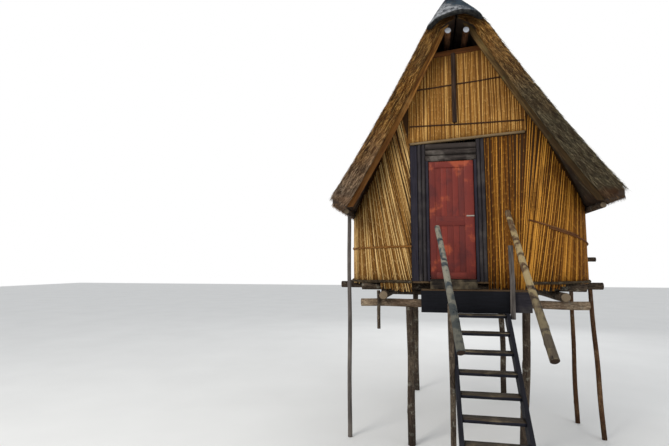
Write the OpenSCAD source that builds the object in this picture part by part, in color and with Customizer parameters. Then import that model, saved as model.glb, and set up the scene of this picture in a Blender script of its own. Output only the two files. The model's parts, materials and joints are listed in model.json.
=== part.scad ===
// Thatched tree house on poles: round-cornered reed cabin, steep bell-cast roof and a front stair.
// Units are millimetres. X runs to the right, Y into the house from the door, Z up from the ground.
// The front wall's outer face is laid out at Y = 0, then everything is moved so that the
// origin lies on the ground under the middle of the whole outline.

/* [Floor and platform] */
// Height of the cabin floor above the ground
deck_h = 2600; // [2400:50:2900]
// Thickness of the floor boards
board_t = 32; // [24:1:45]
// How far the floor boards reach past the reed walls
floor_rim = 5; // [0:5:60]
// Depth of the platform in front of the door wall
platform_d = 500; // [400:10:650]
// Left edge of the platform from the house middle
platform_left = 750; // [700:10:850]
// Right edge of the platform from the house middle
platform_right = 800; // [700:10:850]
// Height of the dark board across the platform front
fascia_h = 320; // [280:5:360]
// Thickness of that board
fascia_t = 32; // [24:1:45]

/* [Poles under the floor] */
// Diameter of the joists that run left to right
joist_d = 120; // [100:5:130]
// Number of joists
joist_n = 5; // [4:1:6]
// Half length of the middle joists, whose ends stick out at both sides
joist_half = 2250; // [2240:5:2300]
// How far the first and last joists stay inside the other joists' ends
joist_end_cut = 500; // [450:10:600]
// Diameter of the bearers that run front to back
bearer_d = 140; // [120:5:150]
// Distance of the outer bearers from the house middle
bearer_outer_x = 1350; // [1250:10:1450]
// Distance of the inner bearers, which carry the platform
bearer_inner_x = 620; // [580:5:660]
// How far the bearers reach past the walls
bearer_over = 150; // [100:10:200]
// Diameter of the cross logs on the posts
log_d = 130; // [110:5:150]
// How far the cross logs reach past the outer bearers
log_over = 400; // [300:10:450]
// Distance of the front cross logs behind the door wall
log_front_y = 150; // [120:5:200]

/* [Posts] */
// Diameter of the main posts
post_d = 120; // [100:5:130]
// Distance of the main posts from the house middle
post_x = 950; // [900:10:1050]
// How far the foot of the front right post leans inwards
post_lean = 120; // [0:10:200]
// How far the foot of the outer slender post leans outwards
side_post_lean = 100; // [0:10:150]
// Diameter of the slender side posts
side_post_d = 75; // [60:5:90]
// Diameter of the tall post that reaches the eave
eave_post_d = 70; // [60:5:80]
// Distance of that post behind the door wall
eave_post_y = 300; // [200:10:350]
// Diameter of the short post that hangs under the floor
stub_d = 55; // [40:5:70]
// Length of the short post
stub_len = 620; // [400:10:700]

/* [Walls] */
// Half of the cabin's width over the reed walls
wall_half = 2000; // [1980:5:2010]
// Depth of the cabin over the reed walls
house_d = 3600; // [3400:50:3900]
// Thickness of a reed wall
wall_t = 50; // [40:1:60]
// Outer radius of the round corners
corner_r = 1100; // [1000:10:1150]
// Diameter of the bent pole round the foot of the walls
hoop_d = 45; // [30:1:50]
// Diameter of the thin laths tied over the reeds
lath_d = 24; // [16:1:30]
// Height of the left wall's lath above the floor
lath_h = 560; // [450:10:750]
// Height of the right wall's lath above the floor, at the side
right_lath_h = 610; // [550:10:650]
// Rise of the right wall's lath for each metre towards the door
right_lath_rise = 300; // [0:20:320]
// Pole end that sticks out of the right wall, behind the front corner
pole_end_y = 200; // [150:10:300]
// Height of that pole end above the floor
pole_end_h = 360; // [300:10:400]
// Diameter of that pole end
pole_end_d = 80; // [60:1:90]

/* [Roof] */
// Distance of the ridge from the house middle
ridge_x = -120; // [-150:5:-90]
// Height of the thatch ridge above the floor
ridge_h = 4400; // [4350:10:4450]
// Half width of the rounded top of the thatch
shoulder_w = 425; // [400:5:440]
// Edge of the rounded top, below the ridge
shoulder_drop = 250; // [220:5:280]
// Half of the width over the eaves
eave_half = 2170; // [2160:5:2200]
// Height of the upper edge of the eave above the floor
eave_top_h = 1360; // [1330:5:1390]
// Height of the flat underside of the eave above the floor
eave_cut_h = 1210; // [1190:5:1230]
// Thickness of the thatch at the top of the slope
thatch_top = 190; // [180:5:200]
// Thickness of the thatch at the eave
thatch_eave = 290; // [280:5:300]
// How much flatter the slope gets towards the eave
bell = 0.13; // [0.05:0.01:0.15]
// How far the roof reaches past the front and back walls
verge = 350; // [300:10:400]
// Depth of a rafter across the slope
rafter_h = 85; // [70:5:90]
// Thickness of the verge boards
barge_t = 35; // [25:1:45]
// Distance of the verge board behind the face of the thatch
barge_in = 110; // [90:10:150]
// Diameter of the poles along the tops of the side walls
plate_d = 90; // [80:2:100]
// Diameter of the two ridge poles
ridge_pole_d = 100; // [80:1:105]
// Radius of the rim of the ridge cap
cap_r = 447; // [430:1:470]
// Top of the ridge cap, above the ridge
cap_over = 285; // [200:5:300]
// Outer edge of the cap, below the ridge
cap_rim_drop = 275; // [270:5:290]
// Thickness of the rim of the cap
cap_rim_t = 45; // [35:5:60]
// Angle by which the cap hangs lower on the left
cap_tilt = 6.2; // [0:0.2:7]
// How far the middle of the cap lies left of the ridge
cap_off = 30; // [0:5:40]
// How far the middle of the cap's round end lies in front of the wall
cap_y = 243; // [230:1:300]

/* [Gable] */
// Height of the rail under the gable reeds above the floor, at the ridge
gable_rail_h = 2285; // [2270:5:2310]
// Rise of the rail for each metre to the right
gable_rail_rise = 60; // [0:10:70]
// Thickness of that rail
gable_rail_t = 35; // [25:1:45]
// How far that rail stands out from the reeds
gable_rail_out = 40; // [30:1:60]
// Height of the lower edge of the gable board above the floor, at the ridge
gable_board_h = 3745; // [3720:5:3760]
// Width of the gable board
gable_board_w = 88; // [80:1:110]
// Rise of that board and of the upper lath for each metre to the right
gable_rise = 90; // [0:10:100]
// Diameter of the upright gable pole
gable_pole_d = 76; // [60:1:80]
// Distance of the gable pole from the house middle
gable_pole_x = -170; // [-220:5:-120]
// Heights of the lower and upper gable laths above that rail
gable_lath_low = 268; // [200:1:300]
gable_lath_high = 945; // [840:5:990]

/* [Door] */
// Middle of the doorway from the house middle
door_x = -250; // [-270:5:-230]
// Clear width of the doorway
door_w = 720; // [680:5:740]
// Height of the doorway above the floor
door_h = 1955; // [1930:5:1965]
// Height of the threshold
sill_h = 30; // [20:1:40]
// Gap round the door leaf
door_gap = 8; // [7:1:10]
// Thickness of the planks of the leaf
plank_t = 30; // [24:1:34]
// Thickness of the rails and stiles on the planks
rail_t = 12; // [8:1:14]
// Width of the narrow stile at the hinges
stile_w = 100; // [80:5:120]
// Width of the stile at the latch
lock_stile_w = 150; // [130:5:165]
// Width of the top and bottom rails
top_rail_w = 105; // [90:5:120]
// Height of the middle rail above the floor
mid_rail_h = 890; // [850:5:930]
// Width of the middle rail
mid_rail_w = 155; // [130:5:170]
// Width of a door jamb board
jamb_w = 40; // [35:1:50]
// Diameter of the poles beside the door
door_pole_d = 65; // [50:1:65]
// Gap between the three logs over the door
lintel_gap = 3; // [2:1:10]
// Length of the bar of the latch
latch_l = 120; // [100:5:140]
// Height of the bar of the latch
latch_w = 20; // [15:1:25]
// Length of a hinge strap on the leaf
strap_l = 190; // [150:10:250]
// Thickness of the hinge straps and plates
strap_t = 6; // [4:1:8]
// Width of a hinge plate on the jamb
hinge_plate_w = 40; // [30:1:40]

/* [Stair] */
// Clear width between the stringers
stair_w = 700; // [650:10:740]
// Middle of the stair from the house middle
stair_x = 70; // [40:5:80]
// Number of treads
tread_n = 10; // [9:1:11]
// Horizontal distance from tread to tread
going = 224; // [215:1:240]
// Depth of a tread
tread_d = 165; // [150:5:180]
// Thickness of a tread
tread_t = 45; // [35:1:55]
// Thickness of a stringer
stringer_t = 50; // [40:1:55]
// Width of a stringer
stringer_w = 190; // [170:5:210]
// Diameter of the handrails at their foot
rail_d = 105; // [90:1:110]
// Diameter of the handrails at their top
rail_top_d = 78; // [60:1:90]
// Diameter of the posts under the handrails
rail_post_d = 72; // [60:1:75]
// Foot of the right handrail, from the middle of the stair
right_rail_x = 625; // [600:5:640]
// Foot of the left handrail, in front of the top tread
left_rail_y = 1263; // [1200:5:1300]
// Foot of the right handrail, in front of the top tread
right_rail_y = 1333; // [1300:5:1400]
// Foot of the left handrail, below the top tread
left_rail_drop = 310; // [290:5:330]
// Foot of the right handrail, below the top tread
right_rail_drop = 350; // [330:5:370]
// Length of the left handrail, measured level
left_rail_run = 1655; // [1600:5:1700]
// Length of the right handrail, measured level
right_rail_run = 1945; // [1900:5:2000]
// How far the left handrail leans out over its length
left_rail_lean = 205; // [190:5:215]
// How far the right handrail leans in over its length
right_rail_lean = 115; // [100:5:130]
// Post of the left handrail, in front of the top tread
left_post_y = 630; // [600:5:700]
// How far the post of the right handrail reaches below the fascia
right_post_down = 70; // [40:5:100]

/* [Hidden] */
$fn = 48;
// Running clearance where round timbers bear on each other
seat = 0.3;
// A length past every piece, for cutting
far = 9000;

// Heights of the timbers under the floor
board_low = deck_h - board_t;
joist_z = board_low - seat - joist_d / 2;
bearer_z = joist_z - joist_d / 2 - seat - bearer_d / 2;
bearer_top = bearer_z + bearer_d / 2;
log_z = bearer_z - bearer_d / 2 - seat - log_d / 2;
log_low = log_z - log_d / 2;
platform_z = bearer_top + seat + board_t;
fascia_face = -platform_d - fascia_t;

// Plan of the cabin
flat_half = wall_half - corner_r;
flat_end = flat_half - seat;
back_corner_y = house_d - corner_r;
joist_first_y = 250;
joist_step = (house_d - 2 * joist_first_y) / (joist_n - 1);
log_back_y = house_d - log_front_y;

// Roof heights above the ground
ridge_z = deck_h + ridge_h;
shoulder_z = ridge_z - shoulder_drop;
eave_top_z = deck_h + eave_top_h;
eave_cut_z = deck_h + eave_cut_h;
plate_x = wall_half - wall_t / 2;
plate_z = eave_cut_z - seat - plate_d / 2;
wall_top_z = plate_z - plate_d / 2 - seat;
rafter_w = 70;
// Places along the slope at which every curved roof piece has its corners
slope_knots = [-0.045, 0, 0.12, 0.25, 0.38, 0.5, 0.62, 0.75, 0.88, 1, 1.15];
rafter_first_y = corner_r + 100;
rail_low = deck_h + gable_rail_h;
board_low_z = deck_h + gable_board_h;

// Stair levels: the first tread lies level with the foot of the platform's front board
tread_top = platform_z - fascia_h;
riser = tread_top / tread_n;
nose_y = fascia_face - tread_d - 10;
stair_slope = riser / going;
stair_angle = atan(stair_slope);
stringer_drop = stringer_w / cos(stair_angle);
stringer_rise = 20;
foot_y = nose_y - (tread_n * riser + stringer_rise) / stair_slope;

// Whole outline from front to back, and the move that centres it
y_front = foot_y;
y_back = house_d + cap_y + cap_r;
shift_y = -(y_front + y_back) / 2;

// Door
door_left = door_x - door_w / 2;
door_right = door_x + door_w / 2;
jamb_front = -20;
jamb_back = wall_t;
leaf_front = 4;
leaf_back = leaf_front + rail_t + plank_t;
leaf_left = door_left + door_gap - 2;
leaf_right = door_right - door_gap;
leaf_low = deck_h + sill_h + door_gap;
leaf_top = deck_h + door_h - door_gap;
hinge_x = door_left + 4;
hinge_y = jamb_back + 14;
hinge_r = 11;
pin_d = 10;
barrel_h = 30;
hinge_heights = [300, 1650];

module place() {
    translate([0, shift_y, 0]) children();
}

// A round pole along X, Y or Z, from its centre line's start
module pole_x(x0, x1, y, z, d) {
    translate([x0, y, z]) rotate([0, 90, 0]) cylinder(h = x1 - x0, d = d);
}

module pole_y(y0, y1, x, z, d) {
    translate([x, y0, z]) rotate([-90, 0, 0]) cylinder(h = y1 - y0, d = d);
}

module pole_z(z0, z1, x, y, d) {
    translate([x, y, z0]) cylinder(h = z1 - z0, d = d);
}

// A round pole between two points
module pole_between(p, q, d, far_d) {
    v = q - p;
    len = norm(v);
    translate(p) rotate([0, acos(v[2] / len), atan2(v[1], v[0])]) cylinder(h = len, d1 = d, d2 = far_d);
}

// Heights of the sloping rail and board at a distance x from the house middle
function rail_at_x(x) = rail_low + (x - ridge_x) * gable_rail_rise / 1000;
function board_at_x(x) = board_low_z + (x - ridge_x) * gable_rise / 1000;

// A piece of the gable between two sloping edges, given by their heights at its left and right end
module sloped_box(y0, y1, low, high) {
    along_y([[-flat_end, low[0]], [flat_end, low[1]], [flat_end, high[1]], [-flat_end, high[0]]], y0, y1);
}

module box(x0, x1, y0, y1, z0, z1) {
    translate([x0, y0, z0]) cube([x1 - x0, y1 - y0, z1 - z0]);
}

// Plan outline of the cabin, grown by off, with round corners
function corner_pts(cx, cy, a0, off) =
    [for (i = [0:10]) [cx + (corner_r + off) * cos(a0 + 9 * i), cy + (corner_r + off) * sin(a0 + 9 * i)]];

function plan_pts(off) = concat(
    corner_pts(flat_half, back_corner_y, 0, off),
    corner_pts(-flat_half, back_corner_y, 90, off),
    corner_pts(-flat_half, corner_r, 180, off),
    corner_pts(flat_half, corner_r, 270, off)
);

// Roof slope on side s (-1 left, 1 right): t runs from the shoulder to the eave, d is the depth
// below the thatch surface. The slope gets flatter towards the eave, which gives the bell-cast.
function slope_run(s) = s * eave_half - ridge_x - s * shoulder_w;
function slope_fall(t) = (shoulder_z - eave_top_z) * (1 + bell - 2 * bell * t);
function slope_len(s, t) = sqrt(pow(slope_run(s), 2) + pow(slope_fall(t), 2));
function slope_pt(s, t, d) = [
    ridge_x + s * shoulder_w + slope_run(s) * t - s * slope_fall(t) / slope_len(s, t) * d,
    shoulder_z - (shoulder_z - eave_top_z) * ((1 + bell) * t - bell * t * t)
        - s * slope_run(s) / slope_len(s, t) * d
];

function outer_line(s) = [for (t = slope_knots) if (t >= 0) slope_pt(s, t, 0)];

// The same line under the thatch, which gets thicker towards the eave
function thatch_at(t) = thatch_top + (thatch_eave - thatch_top) * t;
function under_line(s, d) = [for (t = slope_knots) slope_pt(s, t, thatch_at(t) + d)];

function reversed(v) = [for (i = [len(v) - 1:-1:0]) v[i]];

// Extrudes an outline in X and Z from y0 to y1
module along_y(pts, y0, y1) {
    translate([0, y1, 0]) rotate([90, 0, 0]) linear_extrude(y1 - y0) polygon(pts);
}

// A rafter or verge board under the thatch, cut level at the eave
module rafter(s, y0, y1) {
    intersection() {
        along_y(concat(under_line(s, seat), reversed(under_line(s, rafter_h))), y0, y1);
        box(-eave_half, eave_half, y0 - 1, y1 + 1, eave_cut_z, ridge_z);
    }
}

module thatch(s) {
    outer = concat([[ridge_x, ridge_z]], outer_line(s));
    inner = concat(reversed(under_line(s, 0)), [[ridge_x, ridge_z - thatch_top]]);
    near = s > 0 ? ridge_x : -eave_half;
    intersection() {
        along_y(concat(outer, inner), -verge, house_d + verge);
        box(near, s > 0 ? eave_half : ridge_x, -far, far, eave_cut_z, far);
    }
}

// The space under the thatch, where walls may stand
module under_roof(y0, y1) {
    left = reversed(under_line(-1, seat));
    right = under_line(1, seat);
    low_right = right[len(right) - 1][1];
    along_y(concat([[-far, 0]], [[-far, left[0][1]]], left, right, [[far, low_right]], [[far, 0]]), y0, y1);
}

// A wall piece cut to the roof: below the thatch, and below the pole on the side walls
module cut_to_roof() {
    inner = plate_x - plate_d / 2 - 1;
    difference() {
        intersection() {
            children();
            under_roof(-100, house_d + 100);
        }
        box(inner, far, -far, far, wall_top_z, far);
        box(-far, -inner, -far, far, wall_top_z, far);
    }
}

// One round corner of the wall in three pieces
module corner_wall(cx, cy, a0) {
    gap = 1;
    piece = 30;
    cut_to_roof() for (i = [0:2])
        translate([cx, cy, deck_h]) rotate([0, 0, a0 + piece * i + (i > 0 ? gap / corner_r * 57.3 : 0)])
            rotate_extrude(angle = piece - (i > 0 ? gap / corner_r * 57.3 : 0), $fn = 96)
                translate([corner_r - wall_t, 0]) square([wall_t, ridge_h]);
}

// Half a ring of poles round one side of the cabin, off away from the wall
module side_hoop(s, d, z, off) {
    r = corner_r + off + seat + d / 2;
    x = s * flat_half;
    a_front = s > 0 ? -90 : 180;
    a_back = s > 0 ? 0 : 90;
    translate([x, corner_r, z]) rotate([0, 0, a_front]) rotate_extrude(angle = 90, $fn = 96)
        translate([r, 0]) circle(d = d, $fn = 16);
    translate([x, back_corner_y, z]) rotate([0, 0, a_back]) rotate_extrude(angle = 90, $fn = 96)
        translate([r, 0]) circle(d = d, $fn = 16);
    translate([x + s * r, corner_r, z]) rotate([-90, 0, 0])
        cylinder(h = back_corner_y - corner_r, d = d, $fn = 16);
}

// Floor and platform

module floor_boards() {
    color("#6b5136") place() translate([0, 0, board_low]) linear_extrude(board_t) polygon(plan_pts(floor_rim));
}

module platform_boards() {
    color("#4a4038") place()
        box(-platform_left, platform_right, -platform_d, joist_first_y - joist_d, platform_z - board_t, platform_z);
}

module platform_fascia() {
    color("#16182a") place()
        box(-platform_left, platform_right, fascia_face, -platform_d, platform_z - fascia_h, platform_z);
}

module door_step() {
    color("#8f8068") place()
        box(door_left, door_right, -floor_rim - 60, -floor_rim, platform_z, deck_h);
}

module floor_joists() {
    color("#5b4d3e") place() for (i = [0:joist_n - 1]) {
        end_cut = (i == 0 || i == joist_n - 1) ? joist_end_cut : 0;
        pole_x(end_cut - joist_half, joist_half - end_cut, joist_first_y + joist_step * i, joist_z, joist_d);
    }
}

module floor_bearers() {
    color("#4d4438") place() {
        for (s = [-1, 1]) {
            pole_y(-bearer_over, house_d + bearer_over, s * bearer_outer_x, bearer_z, bearer_d);
            pole_y(-platform_d, house_d + bearer_over, s * bearer_inner_x, bearer_z, bearer_d);
        }
    }
}

module front_cross_logs() {
    outer = bearer_outer_x + log_over;
    inner = bearer_inner_x - 100;
    color("#a59a86") place() {
        pole_x(-outer, -inner, log_front_y, log_z, log_d);
        pole_x(inner, outer, log_front_y, log_z, log_d);
    }
}

module back_cross_log() {
    outer = bearer_outer_x + log_over;
    color("#a59a86") place() pole_x(-outer, outer, log_back_y, log_z, log_d);
}

// Posts

module front_left_post() {
    color("#3b342c") place() pole_z(0, log_low - seat, -post_x, log_front_y, post_d);
}

module front_right_post() {
    color("#3b342c") place() leaning_post(post_x - 100, log_front_y, -post_lean, log_low - seat, post_d);
}

// A post whose foot stands lean to the right of its top, cut level at both ends
module leaning_post(x, y, lean, h, d) {
    top = [x, y, h];
    foot = top + [lean, 0, -h];
    intersection() {
        pole_between(foot - (top - foot) * 0.05, top + (top - foot) * 0.05, d, d);
        box(-far, far, -far, far, 0, h);
    }
}

module back_posts() {
    color("#3b342c") place() for (s = [-1, 1]) pole_z(0, log_low - seat, s * post_x, log_back_y, post_d);
}

module right_side_posts() {
    top = joist_z - joist_d / 2 - seat;
    color("#6e4b32") place() {
        pole_z(0, top, joist_half - 280, joist_first_y + joist_step * 2, side_post_d);
        leaning_post(joist_half - 200, joist_first_y + joist_step, side_post_lean, top, side_post_d);
    }
}

module left_eave_post() {
    color("#2e2a26") place() pole_z(0, plate_z - plate_d / 2 - seat, -plate_x, eave_post_y, eave_post_d);
}

module left_stub_post() {
    top = bearer_top;
    x = -bearer_outer_x - bearer_d / 2 - stub_d / 2 - seat;
    color("#4a3b2d") place() pole_z(top - stub_len, top, x, 40, stub_d);
}

// Walls

module front_left_wall() {
    color("#1f2230") place()
        box(-flat_end, door_left - jamb_w - 2 * door_pole_d - 10, 0, wall_t, deck_h, rail_at_x(-flat_end) - seat);
}

module front_right_wall() {
    x = door_right + jamb_w + 2 * door_pole_d + 10;
    color("#c39a50") place() along_y([[x, deck_h], [flat_end, deck_h], [flat_end, rail_at_x(flat_end) - seat],
        [x, rail_at_x(x) - seat]], 0, wall_t);
}

module front_left_corner() {
    color("#c39a50") place() corner_wall(-flat_half, corner_r, 180);
}

module front_right_corner() {
    color("#b07a2e") place() corner_wall(flat_half, corner_r, 270);
}

module back_left_corner() {
    color("#c39a50") place() corner_wall(-flat_half, back_corner_y, 90);
}

module back_right_corner() {
    color("#b07a2e") place() corner_wall(flat_half, back_corner_y, 0);
}

module left_wall() {
    color("#c39a50") place()
        box(-wall_half, wall_t - wall_half, corner_r + seat, back_corner_y - seat, deck_h, wall_top_z);
}

module right_wall() {
    color("#b07a2e") place()
        box(wall_half - wall_t, wall_half, corner_r + seat, back_corner_y - seat, deck_h, wall_top_z);
}

module back_wall() {
    color("#c39a50") place()
        box(-flat_end, flat_end, house_d - wall_t, house_d, deck_h, rail_low - seat);
}

module left_wall_hoops() {
    color("#3a3026") place() {
        side_hoop(-1, hoop_d, board_low + hoop_d / 2, floor_rim);
        side_hoop(-1, lath_d, deck_h + lath_h, 0);
    }
}

module right_wall_hoops() {
    color("#3a3026") place() {
        side_hoop(1, hoop_d, board_low + hoop_d / 2, floor_rim);
        sloping_lath();
    }
}

// The split lath of the right wall, which falls from the door towards the side
module sloping_lath() {
    low = deck_h + right_lath_h;
    fall = right_lath_rise / 1000;
    reach = corner_r + 2 * lath_d;
    r = corner_r + seat;
    intersection() {
        union() {
            translate([flat_half, corner_r, deck_h]) rotate([0, 0, -90]) rotate_extrude(angle = 90, $fn = 96)
                translate([r, 0]) square([lath_d, gable_rail_h]);
            translate([flat_half, back_corner_y, deck_h]) rotate_extrude(angle = 90, $fn = 96)
                translate([r, 0]) square([lath_d, gable_rail_h]);
            box(flat_half + r, flat_half + r + lath_d, corner_r, back_corner_y, deck_h, rail_low);
        }
        along_y([[flat_half - 1, low + fall * (corner_r + 1)], [flat_half + reach, low + fall * (corner_r - reach)],
            [flat_half + reach, low + lath_d + fall * (corner_r - reach)],
            [flat_half - 1, low + lath_d + fall * (corner_r + 1)]], -reach, house_d + reach);
    }
}

module right_pole_end() {
    color("#2c2723") place() pole_x(wall_half, joist_half, corner_r + pole_end_y, deck_h + pole_end_h, pole_end_d);
}

// Gable

function rail_ends(up) = [rail_at_x(-flat_end) + up, rail_at_x(flat_end) + up];
function board_ends(up) = [board_at_x(-flat_end) + up, board_at_x(flat_end) + up];

module front_gable() {
    color("#c39a50") place() cut_to_roof()
        sloped_box(0, wall_t, rail_ends(gable_rail_t), board_ends(0));
}

module back_gable() {
    color("#c39a50") place() cut_to_roof()
        box(-flat_end, flat_end, house_d - wall_t, house_d, rail_low, deck_h + gable_board_h + gable_board_w);
}

module gable_rail() {
    color("#b8a070") place()
        sloped_box(-gable_rail_out, wall_t, rail_ends(0), rail_ends(gable_rail_t));
}

module gable_board() {
    color("#6e4220") place() cut_to_roof()
        sloped_box(0, wall_t, board_ends(0), board_ends(gable_board_w));
}

module gable_pole() {
    low = rail_low + gable_lath_low + lath_d;
    color("#33281f") place()
        pole_z(low, board_low_z, gable_pole_x, -gable_pole_d / 2 - seat, gable_pole_d);
}

module gable_laths() {
    high_z = rail_low + gable_lath_high;
    y = -lath_d / 2 - seat;
    side = gable_pole_d / 2 + seat;
    color("#33281f") place() cut_to_roof() {
        pole_x(-flat_half, flat_half, y, rail_low + gable_lath_low, lath_d);
        high_lath(-flat_half, gable_pole_x - side, y, high_z);
        high_lath(gable_pole_x + side, flat_half, y, high_z);
    }
}

// The upper lath rises to the right as the gable board does
module high_lath(x0, x1, y, z) {
    rise = gable_rise / 1000;
    pole_between([x0, y, z + (x0 - ridge_x) * rise], [x1, y, z + (x1 - ridge_x) * rise], lath_d, lath_d);
}

// Door

module door_poles() {
    color("#3a3632") place() for (i = [0:1]) {
        off = jamb_w + seat + door_pole_d / 2 + i * (door_pole_d + 4);
        door_pole(door_left - off);
        door_pole(door_right + off);
    }
}

// A pole from the floor to the rail, cut level under the rail's lower side
module door_pole(x) {
    pole_z(deck_h, rail_at_x(x - door_pole_d / 2) - seat, x, wall_t / 2, door_pole_d);
}

module door_jambs() {
    color("#2a1c18") place() {
        box(door_left - jamb_w, door_left, jamb_front, jamb_back, deck_h, deck_h + door_h);
        box(door_right, door_right + jamb_w, jamb_front, jamb_back, deck_h, deck_h + door_h);
    }
}

module door_sill() {
    color("#2a1c18") place() box(door_left, door_right, jamb_front, jamb_back, deck_h, deck_h + sill_h);
}

module lintel_logs() {
    step = (rail_at_x(door_left - jamb_w) - deck_h - door_h) / 3;
    z = deck_h + door_h + step / 2;
    color("#6d6862") place() for (i = [0:2])
        pole_x(door_left - jamb_w, door_right + jamb_w, wall_t / 2, z + step * i, step - lintel_gap);
}

module door_leaf() {
    plank_front = leaf_front + rail_t;
    groove = 4;
    field_left = leaf_left + stile_w;
    field_w = leaf_right - lock_stile_w - field_left;
    color("#9a3226") place() difference() {
        union() {
            box(leaf_left, leaf_right, plank_front, leaf_back, leaf_low, leaf_top);
            box(leaf_left, field_left, leaf_front, plank_front, leaf_low, leaf_top);
            box(leaf_right - lock_stile_w, leaf_right, leaf_front, plank_front, leaf_low, leaf_top);
            box(field_left, leaf_right - lock_stile_w, leaf_front, plank_front, leaf_top - top_rail_w, leaf_top);
            box(field_left, leaf_right - lock_stile_w, leaf_front, plank_front, leaf_low, leaf_low + top_rail_w);
            box(field_left, leaf_right - lock_stile_w, leaf_front, plank_front, deck_h + mid_rail_h,
                deck_h + mid_rail_h + mid_rail_w);
        }
        for (i = [1:4]) {
            x = field_left + field_w * i / 5;
            box(x - groove / 2, x + groove / 2, plank_front, plank_front + groove,
                leaf_low + top_rail_w, deck_h + mid_rail_h);
            box(x - groove / 2, x + groove / 2, plank_front, plank_front + groove,
                deck_h + mid_rail_h + mid_rail_w, leaf_top - top_rail_w);
        }
    }
}

module door_latch() {
    z = deck_h + mid_rail_h + mid_rail_w;
    color("#c9c4b8") place() {
        box(leaf_right - latch_l - 5, leaf_right - 5, leaf_front - latch_w / 2, leaf_front, z - latch_w / 2,
            z + latch_w / 2);
    }
}

// The moving half of each hinge: a strap on the back of the leaf with a bored barrel
module door_straps() {
    color("#5a5450") place() for (h = hinge_heights) {
        z = deck_h + h;
        difference() {
            union() {
                box(hinge_x, hinge_x + strap_l, leaf_back, leaf_back + strap_t, z, z + barrel_h);
                box(hinge_x, hinge_x + 9, leaf_back, hinge_y, z, z + barrel_h);
                pole_z(z, z + barrel_h, hinge_x, hinge_y, 2 * hinge_r);
            }
            pole_z(z - 1, z + barrel_h + 1, hinge_x, hinge_y, pin_d + 2 * seat);
        }
    }
}

// The fixed half: a plate on the jamb, a lower barrel and the pin
module door_hinge_pins() {
    color("#5a5450") place() for (h = hinge_heights) {
        z = deck_h + h - seat;
        union() {
            box(hinge_x - hinge_plate_w, hinge_x, jamb_back, jamb_back + strap_t, z - barrel_h, z);
            pole_z(z - barrel_h, z, hinge_x, hinge_y, 2 * hinge_r);
            pole_z(z - 1, z + barrel_h + 4, hinge_x, hinge_y, pin_d);
        }
    }
}

// Roof

module left_thatch() {
    color("#82695a") place() thatch(-1);
}

module right_thatch() {
    color("#82695a") place() thatch(1);
}

// Hood along the ridge with a half cone at each end, cut to sit on the thatch
module ridge_cap() {
    rise = ridge_z + cap_over;
    rim = ridge_z - cap_rim_drop;
    inner_r = cap_r - 60;
    inner_top = ridge_z - 10;
    half = [[0, rise], [cap_r, rim], [cap_r, rim - cap_rim_t], [inner_r, rim - cap_rim_t], [0, inner_top]];
    left = [for (p = reversed(half)) [-p[0], p[1]]];
    color("#5b6a6c") place() difference() {
        translate([ridge_x - cap_off, 0, rim]) rotate([0, -cap_tilt, 0]) translate([0, 0, -rim]) union() {
            along_y(concat(half, [for (i = [1:3]) left[i]]), -cap_y, house_d + cap_y);
            translate([0, -cap_y, 0]) rotate([0, 0, 180]) rotate_extrude(angle = 180, $fn = 96) polygon(half);
            translate([0, house_d + cap_y, 0]) rotate_extrude(angle = 180, $fn = 96) polygon(half);
        }
        thatch(-1);
        thatch(1);
    }
}

module ridge_poles() {
    color("#8d8a86") place() for (s = [-1, 1]) {
        p = slope_pt(s, 0, thatch_top + rafter_h + seat + ridge_pole_d / 2);
        pole_y(20 - verge, house_d + verge - 20, p[0], p[1], ridge_pole_d);
    }
}

module rafters(s) {
    span = house_d - 2 * rafter_first_y;
    for (i = [0:2]) {
        y = rafter_first_y + span * i / 2;
        rafter(s, y - rafter_w / 2, y + rafter_w / 2);
    }
}

module left_rafters() {
    color("#5b4a36") place() rafters(-1);
}

module right_rafters() {
    color("#5b4a36") place() rafters(1);
}

module barge_board(s) {
    y = barge_in - verge;
    rafter(s, y, y + barge_t);
}

module left_barge_board() {
    color("#966e2d") place() barge_board(-1);
}

module right_barge_board() {
    color("#5d5138") place() barge_board(1);
}

module wall_plates() {
    color("#3c3228") place() for (s = [-1, 1])
        pole_y(0, house_d, s * plate_x, plate_z, plate_d);
}

// Stair

// The upper edge runs parallel to the noses of the treads, and the top is cut level
module stringer(x0) {
    top = tread_top + 15;
    y_top = foot_y + top / stair_slope;
    back = fascia_face - seat;
    low_back = (back - foot_y) * stair_slope - stringer_drop;
    pts = [[foot_y, 0], [y_top, top], [back, top], [back, low_back], [foot_y + stringer_drop / stair_slope, 0]];
    translate([x0, 0, 0]) rotate([90, 0, 90]) linear_extrude(stringer_t) polygon(pts);
}

module left_stringer() {
    color("#23242e") place() stringer(stair_x - stair_w / 2 - stringer_t);
}

module right_stringer() {
    color("#23242e") place() stringer(stair_x + stair_w / 2);
}

module stair_treads() {
    color("#4b443c") place() for (i = [0:tread_n - 1]) {
        y = nose_y - going * i;
        z = tread_top - riser * i;
        box(stair_x - stair_w / 2, stair_x + stair_w / 2, y, y + tread_d, z - tread_t, z);
    }
}

// Handrails run parallel to the stair; the left one's post stands against the stringer
left_post_x = stair_x - stair_w / 2 - stringer_t - seat - rail_post_d / 2;
left_rail_x = left_post_x + left_rail_lean * (left_rail_y - left_post_y) / left_rail_run;
left_rail_low = [left_rail_x, nose_y - left_rail_y, tread_top - left_rail_drop];
left_rail_top = left_rail_low + [-left_rail_lean, left_rail_run, left_rail_run * stair_slope];
right_rail_low = [stair_x + right_rail_x, nose_y - right_rail_y, tread_top - right_rail_drop];
right_rail_top = right_rail_low + [-right_rail_lean, right_rail_run, right_rail_run * stair_slope];

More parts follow.
